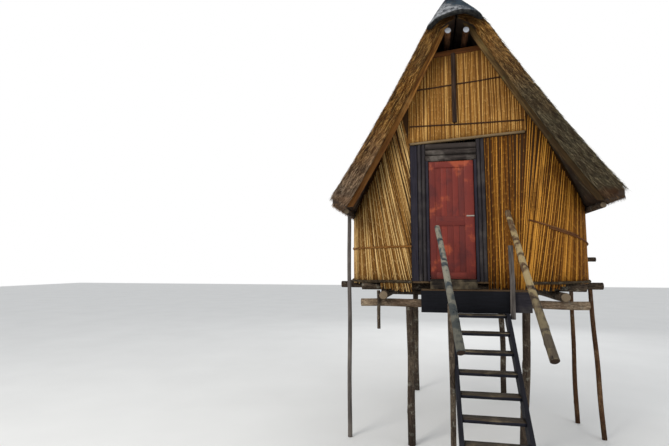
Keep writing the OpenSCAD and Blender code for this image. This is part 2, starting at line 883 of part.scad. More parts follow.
// A point of a rail's centre line, the rail's radius and its underside over a given Y
function rail_at(low, top, y) = low + (top - low) * (y - low[1]) / (top[1] - low[1]);
function rail_r(low, top, y) = (rail_d + (rail_top_d - rail_d) * (y - low[1]) / (top[1] - low[1])) / 2;
function rail_under(low, top, y) =
    rail_at(low, top, y)[2] - rail_post_d / 2 * stair_slope
    - rail_r(low, top, y - rail_post_d / 2) / cos(stair_angle) - seat;

module left_handrail() {
    color("#aaa082") place() pole_between(left_rail_low, left_rail_top, rail_d, rail_top_d);
}

module right_handrail() {
    color("#aaa082") place() pole_between(right_rail_low, right_rail_top, rail_d, rail_top_d);
}

module left_rail_post() {
    y = nose_y - left_post_y;
    color("#2b2724") place()
        pole_z(0, rail_under(left_rail_low, left_rail_top, y), rail_at(left_rail_low, left_rail_top, y)[0], y,
            rail_post_d);
}

// It stands against the fascia and is tied to the inner side of the rail
module right_rail_post() {
    y = fascia_face - seat - rail_post_d / 2;
    rail = rail_at(right_rail_low, right_rail_top, y);
    aside = rail_r(right_rail_low, right_rail_top, y - rail_post_d / 2) + rail_post_d / 2;
    lean_ratio = norm([right_rail_run, right_rail_lean]) / right_rail_run;
    color("#968f88") place()
        pole_z(platform_z - fascia_h - right_post_down, rail[2], rail[0] - aside * lean_ratio - seat, y,
            rail_post_d);
}

floor_boards();
platform_boards();
platform_fascia();
door_step();
floor_joists();
floor_bearers();
front_cross_logs();
back_cross_log();
front_left_post();
front_right_post();
back_posts();
right_side_posts();
left_eave_post();
left_stub_post();
front_left_wall();
front_right_wall();
front_left_corner();
front_right_corner();
left_wall();
right_wall();
back_left_corner();
back_right_corner();
back_wall();
left_wall_hoops();
right_wall_hoops();
right_pole_end();
front_gable();
back_gable();
gable_rail();
gable_board();
gable_pole();
gable_laths();
door_poles();
door_jambs();
door_sill();
lintel_logs();
door_leaf();
door_latch();
door_straps();
door_hinge_pins();
left_thatch();
right_thatch();
ridge_cap();
ridge_poles();
left_rafters();
right_rafters();
left_barge_board();
right_barge_board();
wall_plates();
left_stringer();
right_stringer();
stair_treads();
left_handrail();
right_handrail();
left_rail_post();
right_rail_post();
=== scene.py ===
# %% [markdown]
# # A thatched tree house on poles
# This lesson dresses a small reed-walled cabin that stands on poles. The solid model comes first
# and stays as it is: it gives the sizes, the joint of the door and the places of every timber.
# Blender then adds what a solid model leaves out, such as straw, reeds, bark, bent sticks and wear.

# %% Load the solid model
import bmesh
import bpy
import json
import math
import numpy as np
from mathutils import Matrix, Vector, noise as field

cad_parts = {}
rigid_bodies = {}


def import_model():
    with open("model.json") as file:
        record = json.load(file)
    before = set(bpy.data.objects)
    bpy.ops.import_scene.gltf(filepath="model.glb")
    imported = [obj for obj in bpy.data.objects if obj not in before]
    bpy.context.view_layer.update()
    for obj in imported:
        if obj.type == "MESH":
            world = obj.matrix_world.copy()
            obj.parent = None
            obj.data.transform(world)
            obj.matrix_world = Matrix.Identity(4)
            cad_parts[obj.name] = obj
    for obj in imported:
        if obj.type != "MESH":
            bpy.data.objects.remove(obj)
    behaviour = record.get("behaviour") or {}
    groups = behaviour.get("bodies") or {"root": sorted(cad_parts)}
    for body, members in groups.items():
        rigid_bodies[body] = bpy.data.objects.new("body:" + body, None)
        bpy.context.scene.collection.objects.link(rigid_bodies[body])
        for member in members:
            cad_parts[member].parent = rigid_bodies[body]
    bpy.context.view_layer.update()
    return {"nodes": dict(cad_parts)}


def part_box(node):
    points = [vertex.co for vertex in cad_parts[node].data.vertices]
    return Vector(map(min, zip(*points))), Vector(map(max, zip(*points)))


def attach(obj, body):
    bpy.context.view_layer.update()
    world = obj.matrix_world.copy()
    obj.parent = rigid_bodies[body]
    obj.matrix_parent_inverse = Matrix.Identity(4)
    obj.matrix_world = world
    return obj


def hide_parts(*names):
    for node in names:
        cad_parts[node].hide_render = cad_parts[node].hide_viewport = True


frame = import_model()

nodes = frame["nodes"]
scene_objects = bpy.context.scene.collection.objects

# %% [markdown]
# ## Camera
# The cabin is seen from the ground below the platform, a little to the left of the stair, so the
# camera looks up by 5.5 degrees and turns 11.8 degrees to the left. A plain pinhole with level
# sensor is enough; the focal length came from the lines of the door, the stair and the roof.

# %% Camera
IMAGE_WIDE = 669
FOCAL_PIXELS = 449.3
FLOOR_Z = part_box("floor_boards")[1].z
FRONT_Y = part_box("front_left_wall")[0].y
EYE_SIDEWAYS, EYE_BACK, EYE_OVER_FLOOR = -0.628, 7.423, 0.241
PITCH, TURN = math.radians(5.5), math.radians(11.81)
camera_data = bpy.data.cameras.new("eye_from_below")
camera_data.sensor_width = 36.0
camera_data.lens = camera_data.sensor_width * FOCAL_PIXELS / IMAGE_WIDE
camera = bpy.data.objects.new("eye_from_below", camera_data)
scene_objects.link(camera)
camera.location = (EYE_SIDEWAYS, FRONT_Y - EYE_BACK, FLOOR_Z + EYE_OVER_FLOOR)
camera.rotation_euler = (math.pi / 2 + PITCH, 0.0, TURN)
bpy.context.scene.camera = camera
print("camera lens", round(camera_data.lens, 2), "mm")

# %% [markdown]
# ## Shader arithmetic
# A material is a small formula over the surface. Wrapping a socket in a class lets the formula be
# written as plain arithmetic: `1 - mask` adds a Math node, and colours are mixed with a Mix node.

# %% A class for sockets


class Wire:
    """One output socket of a node tree, with arithmetic."""

    def __init__(self, tree, socket=None):
        self.tree, self.socket = tree, socket

    def node(self, kind, settings=None, out=0, **links):
        """Adds any node. settings: its properties; links: sockets by name, or by number as i0."""
        made = self.tree.nodes.new("ShaderNode" + kind)
        for key, value in (settings or {}).items():
            setattr(made, key, value)
        for key, value in links.items():
            numbered = key[0] == "i" and key[1:].isdigit()
            slot = made.inputs[int(key[1:]) if numbered else key.replace("_", " ")]
            if isinstance(value, Wire):
                self.tree.links.new(value.socket, slot)
            else:
                slot.default_value = value
        return Wire(self.tree, made.outputs[out])

    def maths(self, operation, other=0.0, third=0.0, clamp=False):
        settings = {"operation": operation, "use_clamp": clamp}
        return self.node("Math", settings, i0=self, i1=other, i2=third)

    def __add__(self, other): return self.maths("ADD", other)
    def __radd__(self, other): return self.maths("ADD", other)
    def __mul__(self, other): return self.maths("MULTIPLY", other)
    def __rmul__(self, other): return self.maths("MULTIPLY", other)
    def __sub__(self, other): return self.maths("SUBTRACT", other)
    def __rsub__(self, other): return self.maths("MULTIPLY_ADD", -1.0, other)

    def clamp(self):
        return self.maths("MULTIPLY", 1.0, clamp=True)

    def between(self, low, high):
        """0 below low, 1 above high, smooth between them; low may be the larger."""
        smooth = {"interpolation_type": "SMOOTHSTEP"}
        return self.node("MapRange", smooth, i0=self, i1=low, i2=high)

    def mix(self, first, second):
        """The first colour where this is 0, the second where it is 1."""
        first, second = (c if isinstance(c, Wire) else (*c, 1.0) for c in (first, second))
        return self.node("Mix", {"data_type": "RGBA"}, out=2, i0=self, i6=first, i7=second)

    def axis(self, number):
        """One number of a vector: 0 for X, 1 for Y and 2 for Z."""
        return self.node("SeparateXYZ", out=number, Vector=self)

    def vector(self, operation, **links):
        """Vector Math on this vector; a dot product is its second output, and a single number."""
        out = 1 if operation == "DOT_PRODUCT" else 0
        return self.node("VectorMath", {"operation": operation}, out=out, i0=self, **links)

    def grain(self, along, across_scale, along_scale):
        """A vector squeezed along one direction, so that noise on it runs in fibres that way."""
        long = self.vector("DOT_PRODUCT", i1=along) * (along_scale - across_scale)
        pull = self.node("VectorMath", {"operation": "SCALE"}, i0=along, Scale=long)
        return self.vector("MULTIPLY_ADD", i1=(across_scale,) * 3, i2=pull)

    def noise(self, scale, detail=3.0, rough=0.55, out=0):
        return self.node("TexNoise", out=out, Vector=self, Scale=scale, Detail=detail,
                         Roughness=rough)

    def cells(self, scale, feature="F1"):
        return self.node("TexVoronoi", {"feature": feature}, Vector=self, Scale=scale)


def linear(code):
    """A colour written as six hexadecimal digits, turned into the linear values of shaders."""
    parts = [int(code[i:i + 2], 16) / 255 for i in (0, 2, 4)]
    return tuple(c / 12.92 if c <= 0.04045 else ((c + 0.055) / 1.055) ** 2.4 for c in parts)


def paints(codes):
    """Several colours from one line of codes."""
    return [linear(code) for code in codes.split()]


print("shader class ready")

# %% [markdown]
# ## Floor, backdrop and light
# The part stands on a plain pale floor. A large soft lamp on the left stands for the low sun of
# the photograph, and a pale world fills the shadows. The background is white only for camera,
# mirror and glass rays, so it adds no light of its own to the object.

# %% Floor, world and lamps
FLOOR_HALF = 60.0
HOUSE_HEART = (0.0, 0.5, 4.2)
SOFT_SKY = 0.72
floor_mesh = bpy.data.meshes.new("pale_floor")
floor_corners = [(x * FLOOR_HALF, y * FLOOR_HALF, 0)
                 for x, y in ((-1, -1), (1, -1), (1, 1), (-1, 1))]
floor_mesh.from_pydata(floor_corners, [], [(0, 1, 2, 3)])
floor = bpy.data.objects.new("pale_floor", floor_mesh)
scene_objects.link(floor)


def soft_lamp(name, place, size, watts, tint):
    """A square area lamp at a place, turned to the middle of the house."""
    data = bpy.data.lights.new(name, "AREA")
    data.size, data.energy, data.color = size, watts, tint
    lamp = bpy.data.objects.new(name, data)
    scene_objects.link(lamp)
    lamp.location = place
    lamp.rotation_euler = (Vector(HOUSE_HEART) - Vector(place)).to_track_quat("-Z", "Y").to_euler()


soft_lamp("soft_sun", (-9.0, -12.0, 11.0), 5.0, 1150.0, (1.0, 0.97, 0.92))
soft_lamp("fill_right", (11.0, -9.0, 6.0), 8.0, 330.0, (0.95, 0.98, 1.0))
soft_lamp("fill_back", (2.0, 14.0, 8.0), 8.0, 330.0, (1.0, 1.0, 1.0))

world = bpy.data.worlds.new("pale_sky")
bpy.context.scene.world = world
world.use_nodes = True
world.node_tree.nodes.clear()
sky = Wire(world.node_tree)
seen = sky.node("Background", Color=(1, 1, 1, 1), Strength=1.0)
soft = sky.node("Background", Color=(0.95, 0.97, 1.0, 1), Strength=SOFT_SKY)
rays = [sky.node("LightPath", out="Is " + kind + " Ray")
        for kind in ("Camera", "Glossy", "Transmission")]
straight = rays[0].maths("MAXIMUM", rays[1]).maths("MAXIMUM", rays[2])
sky_shader = sky.node("MixShader", i0=straight, i1=soft, i2=seen)
sky_end = world.node_tree.nodes.new("ShaderNodeOutputWorld")
world.node_tree.links.new(sky_shader.socket, sky_end.inputs["Surface"])
bpy.context.scene.view_settings.view_transform = "Standard"
print("light and sky ready")

# %% [markdown]
# ## Finishes
# Every finish is a formula in the object's own metres, so the grain has its real size on each
# piece. Noise gives a height and a mask; the mask mixes a second colour in, and the height goes
# through a Bump node. Straw, reeds and boards also read a tone that the mesh gives to every face.

# %% The common start of a finish
DRY_SHINE = 0.12


def finish_of(name, rough=0.8, metal=0.0, shine=DRY_SHINE):
    """A new material, its surface shader, and the point on the surface in metres."""
    material = bpy.data.materials.new(name)
    material.use_nodes = True
    tree = material.node_tree
    shader = tree.nodes["Principled BSDF"]
    shader.inputs["Roughness"].default_value = rough
    shader.inputs["Metallic"].default_value = metal
    shader.inputs["Specular IOR Level"].default_value = shine
    start = tree.nodes.new("ShaderNodeTexCoord")
    return material, shader, Wire(tree, start.outputs["Object"])


def connect(shader, **values):
    """Links wires to the shader's sockets, named with _ for a space."""
    for key, value in values.items():
        value.tree.links.new(value.socket, shader.inputs[key.replace("_", " ")])


def bump(height, strength, distance):
    """A normal from a height given by a wire."""
    return height.node("Bump", Height=height, Strength=strength, Distance=distance)


def part_tone(point, spread):
    """A number from -spread to spread that is the same over one straw, reed or board of a piece.
    It comes from the attribute called tone, which the mesh code gives to every face."""
    tone = point.node("Attribute", {"attribute_name": "tone"}, out=2)
    return (tone - 0.5) * (2.0 * spread)


print("finishes start from", DRY_SHINE, "shine")

# %% [markdown]
# ## Wood and bark
# Timber shows fibres, so its noise is squeezed along the way the tree grew. Weather bleaches it in
# patches and opens small cracks. Bark is deep furrows with small plates between them; a cell
# texture alone looks like reptile skin, so most of the pattern is stretched noise. Whatever stands
# on the ground is darker at its foot, where it is damp.

# %% Wood and bark finishes
ALONG_X, ALONG_Y, ALONG_Z = (1.0, 0.0, 0.0), (0.0, 1.0, 0.0), (0.0, 0.0, 1.0)
UP_THE_STAIR = (0.0, 0.72, 0.694)
SHADED = 0.62
MOSS_GREEN, LICHEN_GREY = linear("5e6440"), linear("a7a596")


def darker_foot(point, colour, foot, dark):
    """Darker towards the bottom: damp and dirt at the foot of a post, painted shade at the low end
    of a barge board. foot: the height where the darkening begins, where it is full, and its share.
    """
    begins, full, share = foot
    edge = (point.axis(2) + point.noise(4.0, 3.0, 0.6) * 0.3 - 0.15).between(begins, full)
    return (edge * share).mix(colour, dark)


def wood_finish(name, codes, along, grain=1.0, rough=0.82, worn=0.35, moss=0.0, tones=0.0,
                foot=None):
    """Sawn or peeled timber. codes: its base, its dark fibres and its pale worn patches."""
    material, shader, point = finish_of(name, rough)
    base, dark, pale = paints(codes)
    fibre = point.grain(along, 26.0 * grain, 1.6 * grain).noise(2.2, 6.0, 0.62)
    stain = point.noise(2.3, 4.0, 0.6)
    colour = fibre.between(0.34, 0.66).mix(dark, base)
    colour = (stain.between(0.48, 0.72) * worn).mix(colour, pale)
    if moss:
        green = point.noise(5.5, 5.0, 0.7).between(0.52, 0.68) * moss
        colour = green.mix(colour, MOSS_GREEN)
    if tones:
        colour = (part_tone(point, tones) + 0.5).clamp().mix([c * SHADED for c in base], colour)
    if foot:
        colour = darker_foot(point, colour, foot, dark)
    crack = point.grain(along, 44.0 * grain, 2.7 * grain).noise(3.0, 8.0, 0.7)
    connect(shader, Base_Color=colour, Roughness=(stain * 0.25 + (rough - 0.12)).clamp(),
            Normal=bump(crack, 0.5, 0.012))
    return material


def bark_finish(name, codes, along, scale=1.0, lichen=0.0, foot=None):
    """Round wood with its bark on. codes: its base, its furrows and its pale plates."""
    material, shader, point = finish_of(name, 0.9)
    base, crevice, plate = paints(codes)
    wander = point.noise(9.0, 3.0, 0.6, out=1)
    bent = wander.vector("MULTIPLY_ADD", i1=(0.08, 0.08, 0.08), i2=point)
    cells = bent.grain(along, 1.0, 0.20).cells(62.0 * scale, "DISTANCE_TO_EDGE").between(0.0, 0.22)
    furrows = bent.grain(along, 48.0 * scale, 5.0 * scale).noise(1.0, 6.0, 0.7).between(0.36, 0.60)
    fine = point.noise(70.0 * scale, 5.0, 0.7)
    plates = cells * 0.35 + furrows * 0.65
    patch = point.noise(3.1, 4.0, 0.6).between(0.42, 0.66)
    colour = plates.mix(crevice, patch.mix(base, plate))
    colour = (fine.between(0.35, 0.75) * 0.35).mix(colour, crevice)
    if lichen:
        spots = point.noise(9.0, 4.0, 0.65).between(0.56, 0.66) * lichen
        colour = (spots * (plates * 0.7 + 0.3)).mix(colour, LICHEN_GREY)
    if foot:
        colour = darker_foot(point, colour, foot, crevice)
    connect(shader, Base_Color=colour, Normal=bump(plates * 0.8 + fine * 0.3, 0.75, 0.014))
    return material


print("wood and bark finishes ready")

# %% [markdown]
# ## Meshes from arrays
# Straw, reeds, poles and planks are all the same thing to a mesh: a row of small outlines joined
# by quads, with a face at each end. NumPy makes thousands of them at once, and one mesh holds all
# the straws of a slope. Each face also gets a tone, a random number that the finishes read.

# %% From arrays to one object
made_pieces = []


def new_piece(name, points, faces, finishes, slot, stands_for=(), body="house", tones=None,
              rings=None, finish_index=None, smooth=True):
    """One mesh object from points and groups of faces, riding on a body of the solid model."""
    mesh = bpy.data.meshes.new(name)
    corners = np.concatenate([f.ravel() for f in faces]).astype(np.int32)
    sizes = np.concatenate([np.full(len(f), f.shape[1]) for f in faces]).astype(np.int32)
    starts = np.concatenate([[0], np.cumsum(sizes)[:-1]]).astype(np.int32)
    mesh.vertices.add(len(points))
    mesh.vertices.foreach_set("co", np.ascontiguousarray(points, np.float32).ravel())
    mesh.loops.add(len(corners))
    mesh.loops.foreach_set("vertex_index", corners)
    mesh.polygons.add(len(sizes))
    mesh.polygons.foreach_set("loop_start", starts)
    mesh.polygons.foreach_set("loop_total", sizes)
    if finish_index is not None:
        mesh.polygons.foreach_set("material_index", finish_index.astype(np.int32))
    mesh.update(calc_edges=True)
    mesh.polygons.foreach_set("use_smooth", np.full(len(sizes), smooth, bool))
    for label, where, values in (("tone", "FACE", tones), ("ring", "POINT", rings)):
        if values is not None:
            kept = mesh.attributes.new(label, "FLOAT", where)
            kept.data.foreach_set("value", values.astype(np.float32))
    for finish in finishes:
        mesh.materials.append(finish)
    piece = bpy.data.objects.new(name, mesh)
    scene_objects.link(piece)
    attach(piece, body)
    if stands_for:
        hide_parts(*stands_for)
    made_pieces.append(piece)
    print(name, "triangles:", int((sizes - 2).sum()))
    return piece


# %% [markdown]
# Parts of a piece are kept as (points, faces, tone of each face, number of the finish). The ends of
# a rod use the points of its sides, so they are a part with no points, counted back from the last.

# %% Many parts in one piece


def rod_parts(points, quads, ends, tone, mark=0, end_mark=0, end_tone=None):
    """The sides of a rod and its ends; mark and end_mark are the numbers of their finishes."""
    end_tone = tone if end_tone is None else end_tone
    return [(points, quads, np.full(len(quads), tone), mark),
            (np.zeros((0, 3)), ends - len(points), np.full(len(ends), end_tone), end_mark)]


def joined_piece(name, parts, finishes, slot, stands_for=(), **others):
    """Joins parts into one piece. Faces of a part count from its own first point."""
    points, faces, tones, marks, start = [], {}, {}, {}, 0
    for part_points, part_faces, part_tones, mark in parts:
        points.append(part_points)
        corners = part_faces.shape[1]
        faces.setdefault(corners, []).append(part_faces + start)
        tones.setdefault(corners, []).append(part_tones)
        marks.setdefault(corners, []).append(np.full(len(part_faces), mark))
        start += len(part_points)
    keys = sorted(faces)

    def in_order(found):
        return np.concatenate([np.concatenate(found[k]) for k in keys])

    return new_piece(name, np.concatenate(points), [np.concatenate(faces[k]) for k in keys],
                     finishes, slot, stands_for, tones=in_order(tones),
                     finish_index=in_order(marks), **others)


print("parts are joined by their number of corners")

# %% [markdown]
# Sweeping an outline along a line makes every rod. The outline's second axis is kept turned to a
# direction that the caller gives, so a board doesn't twist.

# %% Sweeping outlines along lines
ROUND = 6.28


def unit(vectors):
    return vectors / np.maximum(np.linalg.norm(vectors, axis=-1, keepdims=True), 1e-9)


def swept(lines, outlines, out):
    """Outlines swept along many lines at once.
    lines: (rods, stations, 3); outlines: (rods, stations, corners, 2), sideways and outward in
    metres; out: a direction for each rod that the second outline axis points along.
    Returns points, quads, and the two end faces of every rod."""
    rods, stations = lines.shape[:2]
    corners = outlines.shape[2]
    forward = unit(np.gradient(lines, axis=1))
    side = unit(np.cross(np.broadcast_to(out[:, None, :], forward.shape), forward))
    up = np.cross(forward, side)
    points = (lines[:, :, None, :] + side[:, :, None, :] * outlines[..., :1]
              + up[:, :, None, :] * outlines[..., 1:])
    index = np.arange(rods * stations * corners).reshape(rods, stations, corners)
    after = np.roll(index, -1, axis=2)
    quads = np.stack([index[:, :-1], after[:, :-1], after[:, 1:], index[:, 1:]], axis=-1)
    ends = np.concatenate([index[:, 0, ::-1], index[:, -1, :]])
    return points.reshape(-1, 3), quads.reshape(-1, 4), ends


def circle_outline(corners):
    turn = np.arange(corners) * (2 * np.pi / corners)
    return np.stack([np.cos(turn), np.sin(turn)], axis=-1)


def board_outline(wide, thick, rounding, steps=2):
    """A rectangle with rounded corners, its first axis sideways."""
    found = []
    for quarter, (sx, sy) in enumerate(((1, 1), (-1, 1), (-1, -1), (1, -1))):
        for step in range(steps + 1):
            turn = (quarter + step / steps) * np.pi / 2
            found.append((sx * (wide / 2 - rounding) + rounding * np.cos(turn),
                          sy * (thick / 2 - rounding) + rounding * np.sin(turn)))
    return np.array(found)


def ripple(values, seed, waves=4, low=0.6, high=4.0):
    """A smooth wandering number from about -1 to 1 along values, the same on each run."""
    pick = np.random.default_rng(seed)
    total = np.zeros_like(values, float)
    for _ in range(waves):
        total = total + np.sin(values * pick.uniform(low, high) * 2 * np.pi
                               + pick.uniform(0, ROUND))
    return total / waves


print("mesh helpers ready")

# %% [markdown]
# ## Straw and reeds
# Straw goes grey-brown in the weather but stays golden where it is cut or sheltered. The reeds of
# the walls are ochre, deeper on the right. Each straw and reed takes its own tone between a dark
# and a pale colour, and a reed also has dark joints about 20 cm apart.

# %% Straw and reed finishes
LEFT, RIGHT, FRONT, BACK = -1, 1, -1, 1
SIDE_NAME = {LEFT: "left", RIGHT: "right"}
UP_THE_ROOF = {LEFT: (0.47, 0.0, 0.883), RIGHT: (-0.53, 0.0, 0.848)}
JOINTS_A_METRE = 4.6
BACK_BLEND = (0.9, 2.5)


def straw_finish(name, codes, spread, joints=False, behind=None):
    """Straws and reeds. codes: base, dark and pale; spread: how much their tones differ;
    behind: the three colours that the wall turns to at the back, where its two sides meet."""
    material, shader, point = finish_of(name, 0.72)
    base, dark, pale = paints(codes)
    knot_colour = [c * 0.45 for c in dark]
    if behind:
        depth = point.axis(1).between(*BACK_BLEND)
        base, dark, pale = (depth.mix(a, b) for a, b in zip((base, dark, pale), paints(behind)))
    tone = part_tone(point, spread) + 0.5
    stain = point.vector("MULTIPLY", i1=(1.0, 1.0, 0.35)).noise(5.0, 3.0, 0.55)
    fine = point.vector("MULTIPLY", i1=(1.0, 1.0, 0.2)).noise(60.0, 4.0, 0.6)
    colour = tone.clamp().mix(dark, base)
    colour = ((tone - 0.55) * 2.2).clamp().mix(colour, pale)
    colour = (stain.between(0.50, 0.70) * 0.6).mix(colour, dark)
    if joints:
        phase = (point.axis(2) * JOINTS_A_METRE + tone * 23.0).maths("FRACT")
        colour = (phase.between(0.05, 0.02) * 0.5).mix(colour, knot_colour)
        above_joint = phase.between(0.05, 0.09) * phase.between(0.30, 0.10)
        colour = (above_joint * 0.25).mix(colour, pale)
    connect(shader, Base_Color=colour, Roughness=(fine * 0.3 + 0.55).clamp(),
            Normal=bump(fine, 0.35, 0.004))
    return material


BACK_REEDS = "a6732c 613b15 deae61"
# The right slope is darker than the left: partly greyer straw, partly painted shade.
old_straw = {LEFT: straw_finish("left_old_straw", "806c58 47392f b19a80", 0.55),
             RIGHT: straw_finish("right_old_straw_and_shade", "655c49 342e24 99906f", 0.55)}
wall_reed = straw_finish("wall_reed", "ad7f3d 6b451d e6c384", 0.46, True, BACK_REEDS)
deep_reed = straw_finish("deep_reed", "a0671c 57310e d79a41", 0.46, True, BACK_REEDS)
gable_reed = straw_finish("gable_reed", "b98740 8a5e2a ddb26c", 0.34, True)
reed_shadow = straw_finish("reed_shadow", "4f3314 2c1b0c 6a4a20", 0.2)
gable_shadow = straw_finish("gable_shadow", "8a5f2a 5b3a18 a87a3c", 0.2)
straw_shadow = straw_finish("straw_shadow", "4a3e34 2a211b 62523f", 0.2)
print("straw and reed finishes ready")

# %% [markdown]
# The cut edges of the thatch show every age at once: fresh gold near the top, grey lower down, and
# red-brown ends along the eave. Height decides between them, with noise added so that no border is
# a straight line. Just under the cement hood a dark band of painted shade is laid over them.

# %% The cut edges of the thatch
UNDER_THE_HOOD, EAVE_ENDS = (6.66, 6.84), (4.06, 3.96)


def verge_finish(name, side, age, greys, cuts):
    """Golden straw that has gone grey below the height called age, in metres. greys: dark, middle
    and pale; cuts: the dark and the pale colour of the straw ends along the eave."""
    material, shader, point = finish_of(name, 0.78)
    tone = part_tone(point, 0.55) + 0.5
    height = point.axis(2)
    patch = point.noise(1.6, 3.0, 0.55)
    fine = point.vector("MULTIPLY", i1=(1.0, 1.0, 0.25)).noise(60.0, 4.0, 0.6)
    bundle = point.grain(UP_THE_ROOF[side], 15.0, 4.0).noise(1.0, 4.0, 0.7)

    def by_tone(dark, middle, pale):
        return ((tone - 0.6) * 2.4).clamp().mix(tone.clamp().mix(dark, middle), pale)

    old = (height + patch * 1.6).between(age + 0.9, age - 0.8)
    colour = old.mix(by_tone(*paints("3a200d b0742f e6b568")), by_tone(*paints(greys)))
    colour = (patch.between(0.52, 0.70) * 0.4).mix(colour, linear("5a4c39"))
    colour = (bundle.between(0.48, 0.62) * 0.66).mix(colour, linear("2a190d"))
    # Painted shade: a dark band on the straw just under the hood.
    painted_hood_shade = (height + patch * 0.2).between(*UNDER_THE_HOOD)
    colour = (painted_hood_shade * 0.7).mix(colour, linear("2b1a0e"))
    cut_low = (height + patch * 0.12).between(*EAVE_ENDS)
    colour = (cut_low * 0.6).mix(colour, tone.clamp().mix(*paints(cuts)))
    connect(shader, Base_Color=colour, Roughness=(fine * 0.3 + 0.6).clamp(),
            Normal=bump(fine, 0.35, 0.004))
    return material


# The right verge's greys and eave ends are darker than the left's: partly weathered straw, partly
# painted shade.
cut_straw = {
    LEFT: verge_finish("left_cut_straw", LEFT, 5.2, "453830 a68c72 cdb69c", "4a3020 b08a66"),
    RIGHT: verge_finish("right_cut_straw_and_shade", RIGHT, 6.7, "2c2820 625843 948669", "2e1c12 6a452c")}
print("verge finishes ready")

# %% [markdown]
# ## The thatch
# A thatcher lays bundles of straw from the eave to the ridge, each layer over the tips of the last.
# The slope here flares out towards the eave like a bell. The same curve as in the solid model gives
# the body of the slope, and thousands of single straws are laid on it with their tips lifted.

# %% The bell-shaped slope
RIDGE_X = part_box("left_thatch")[1].x
RIDGE_Z, SHOULDER_Z, EAVE_Z, EAVE_CUT_Z = 4.40, 4.15, 1.36, 1.21
EAVE_HALF, SHOULDER_HALF, BELL = 2.17, 0.425, 0.13
THATCH_TOP, THATCH_EAVE = 0.19, 0.29
RIDGE_T = -0.15
ROOF_FRONT, ROOF_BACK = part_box("left_thatch")[0].y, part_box("left_thatch")[1].y


def slope_point(side, t, depth):
    """x and z (metres) of a point of one slope: t is 0 at the shoulder and 1 at the eave, and depth
    goes down into the straw at right angles. Above the shoulder (t < 0) it leads to the ridge."""
    run = side * EAVE_HALF - RIDGE_X - side * SHOULDER_HALF
    down = np.maximum(t, 0.0)
    drop = SHOULDER_Z - EAVE_Z
    fall = drop * (1 + BELL - 2 * BELL * down)
    long = np.hypot(run, fall)
    x = RIDGE_X + side * SHOULDER_HALF + run * down - side * fall / long * depth
    z = SHOULDER_Z - drop * ((1 + BELL) * down - BELL * down ** 2) - side * run / long * depth
    up = np.clip(t / RIDGE_T, 0.0, 1.0)
    top_x, top_z = RIDGE_X + side * 0.012, RIDGE_Z - 1.05 * depth
    return x + (top_x - x) * up, z + (top_z - z) * up


def on_slope(side, t, y, depth):
    """The same point in space, for arrays of t, y and depth."""
    x, z = slope_point(side, t, depth)
    return np.stack(np.broadcast_arrays(x, y, z + FLOOR_Z), axis=-1)


def thatch_depth(t):
    return THATCH_TOP + (THATCH_EAVE - THATCH_TOP) * np.clip(t, 0, 1.1)


def under_thatch(x):
    """Height above the floor of the underside of the thatch, at any x."""
    t = np.linspace(0.0, 1.05, 60)
    heights = np.empty_like(x, float)
    for side in (LEFT, RIGHT):
        px, pz = slope_point(side, t, thatch_depth(t))
        order = np.argsort(px)
        here = (x - RIDGE_X) * side > 0
        heights[here] = np.interp(x[here], px[order], pz[order])
    return heights


print("eave to ridge", round(RIDGE_Z - EAVE_CUT_Z, 2), "m")

# %% [markdown]
# Under the straws lies a closed skin, so that no light comes through between them. It is a loop of
# points, outside, eave and inside, repeated from the front to the back and made lumpy by ripples.

# %% The skin under the straws
SKIN_EDGE, SKIN_FLAT = np.array([0.02, 0.035]), 0.07
SKIN_LOW = EAVE_CUT_Z + FLOOR_Z + 0.012
SKIN_TONE = 0.4


def slope_skin(side, seed, pick):
    """The body of one slope, a little inside the straws, as parts of a piece."""
    t_out = np.concatenate([[RIDGE_T, RIDGE_T / 2], np.linspace(0.0, 1.0, 30)])
    y_line = np.concatenate([ROOF_FRONT + SKIN_EDGE,
                             np.linspace(ROOF_FRONT + SKIN_FLAT, ROOF_BACK - SKIN_FLAT, 60),
                             ROOF_BACK - SKIN_EDGE[::-1]])[:, None]
    lumps = 0.012 * ripple(y_line * 0.9, seed + 1)
    lumps = lumps + 0.010 * ripple(y_line * 1.7 + t_out * 5.0, seed + 2)
    sink = 0.014 - lumps + 0.012 * np.clip((t_out - 0.93) / 0.07, 0, 1) ** 2
    outside = on_slope(side, t_out, y_line, sink)
    inside = on_slope(side, t_out[::-1], y_line, thatch_depth(t_out[::-1]) - 0.012)
    inside[..., 2] = np.maximum(inside[..., 2], SKIN_LOW)
    edge = outside[:, -1:].copy()
    edge[..., 2] = SKIN_LOW
    loop = np.concatenate([outside, edge, inside], axis=1)
    points = loop.reshape(-1, 3)
    index = np.arange(len(points)).reshape(loop.shape[:2])
    after = np.roll(index, -1, axis=1)
    quads = np.stack([index[:-1], index[1:], after[1:], after[:-1]], axis=-1).reshape(-1, 4)
    ends = np.stack([index[0], index[-1][::-1]])
    if side == RIGHT:
        quads, ends = quads[:, ::-1], ends[:, ::-1]
    return rod_parts(points, quads, ends, 0.3 + 0.4 * pick.random(len(quads)), end_tone=SKIN_TONE)


print("the skin ends", round(SKIN_LOW, 3), "m above the ground")

# %% [markdown]
# ## Straws
# One straw is a long thin pyramid: three points buried in the slope and a tip in the open. That is
# four triangles, so more than forty thousand straws fit in one slope. Most lie down the slope.
# Others stand out of the cut edges at the verges and the eave, where the ends of the bundles show,
# and the last ones hang a little under the roof.

# %% Single straws
SLOPE_LONG = 3.25
OLD, CUT = 1, 2


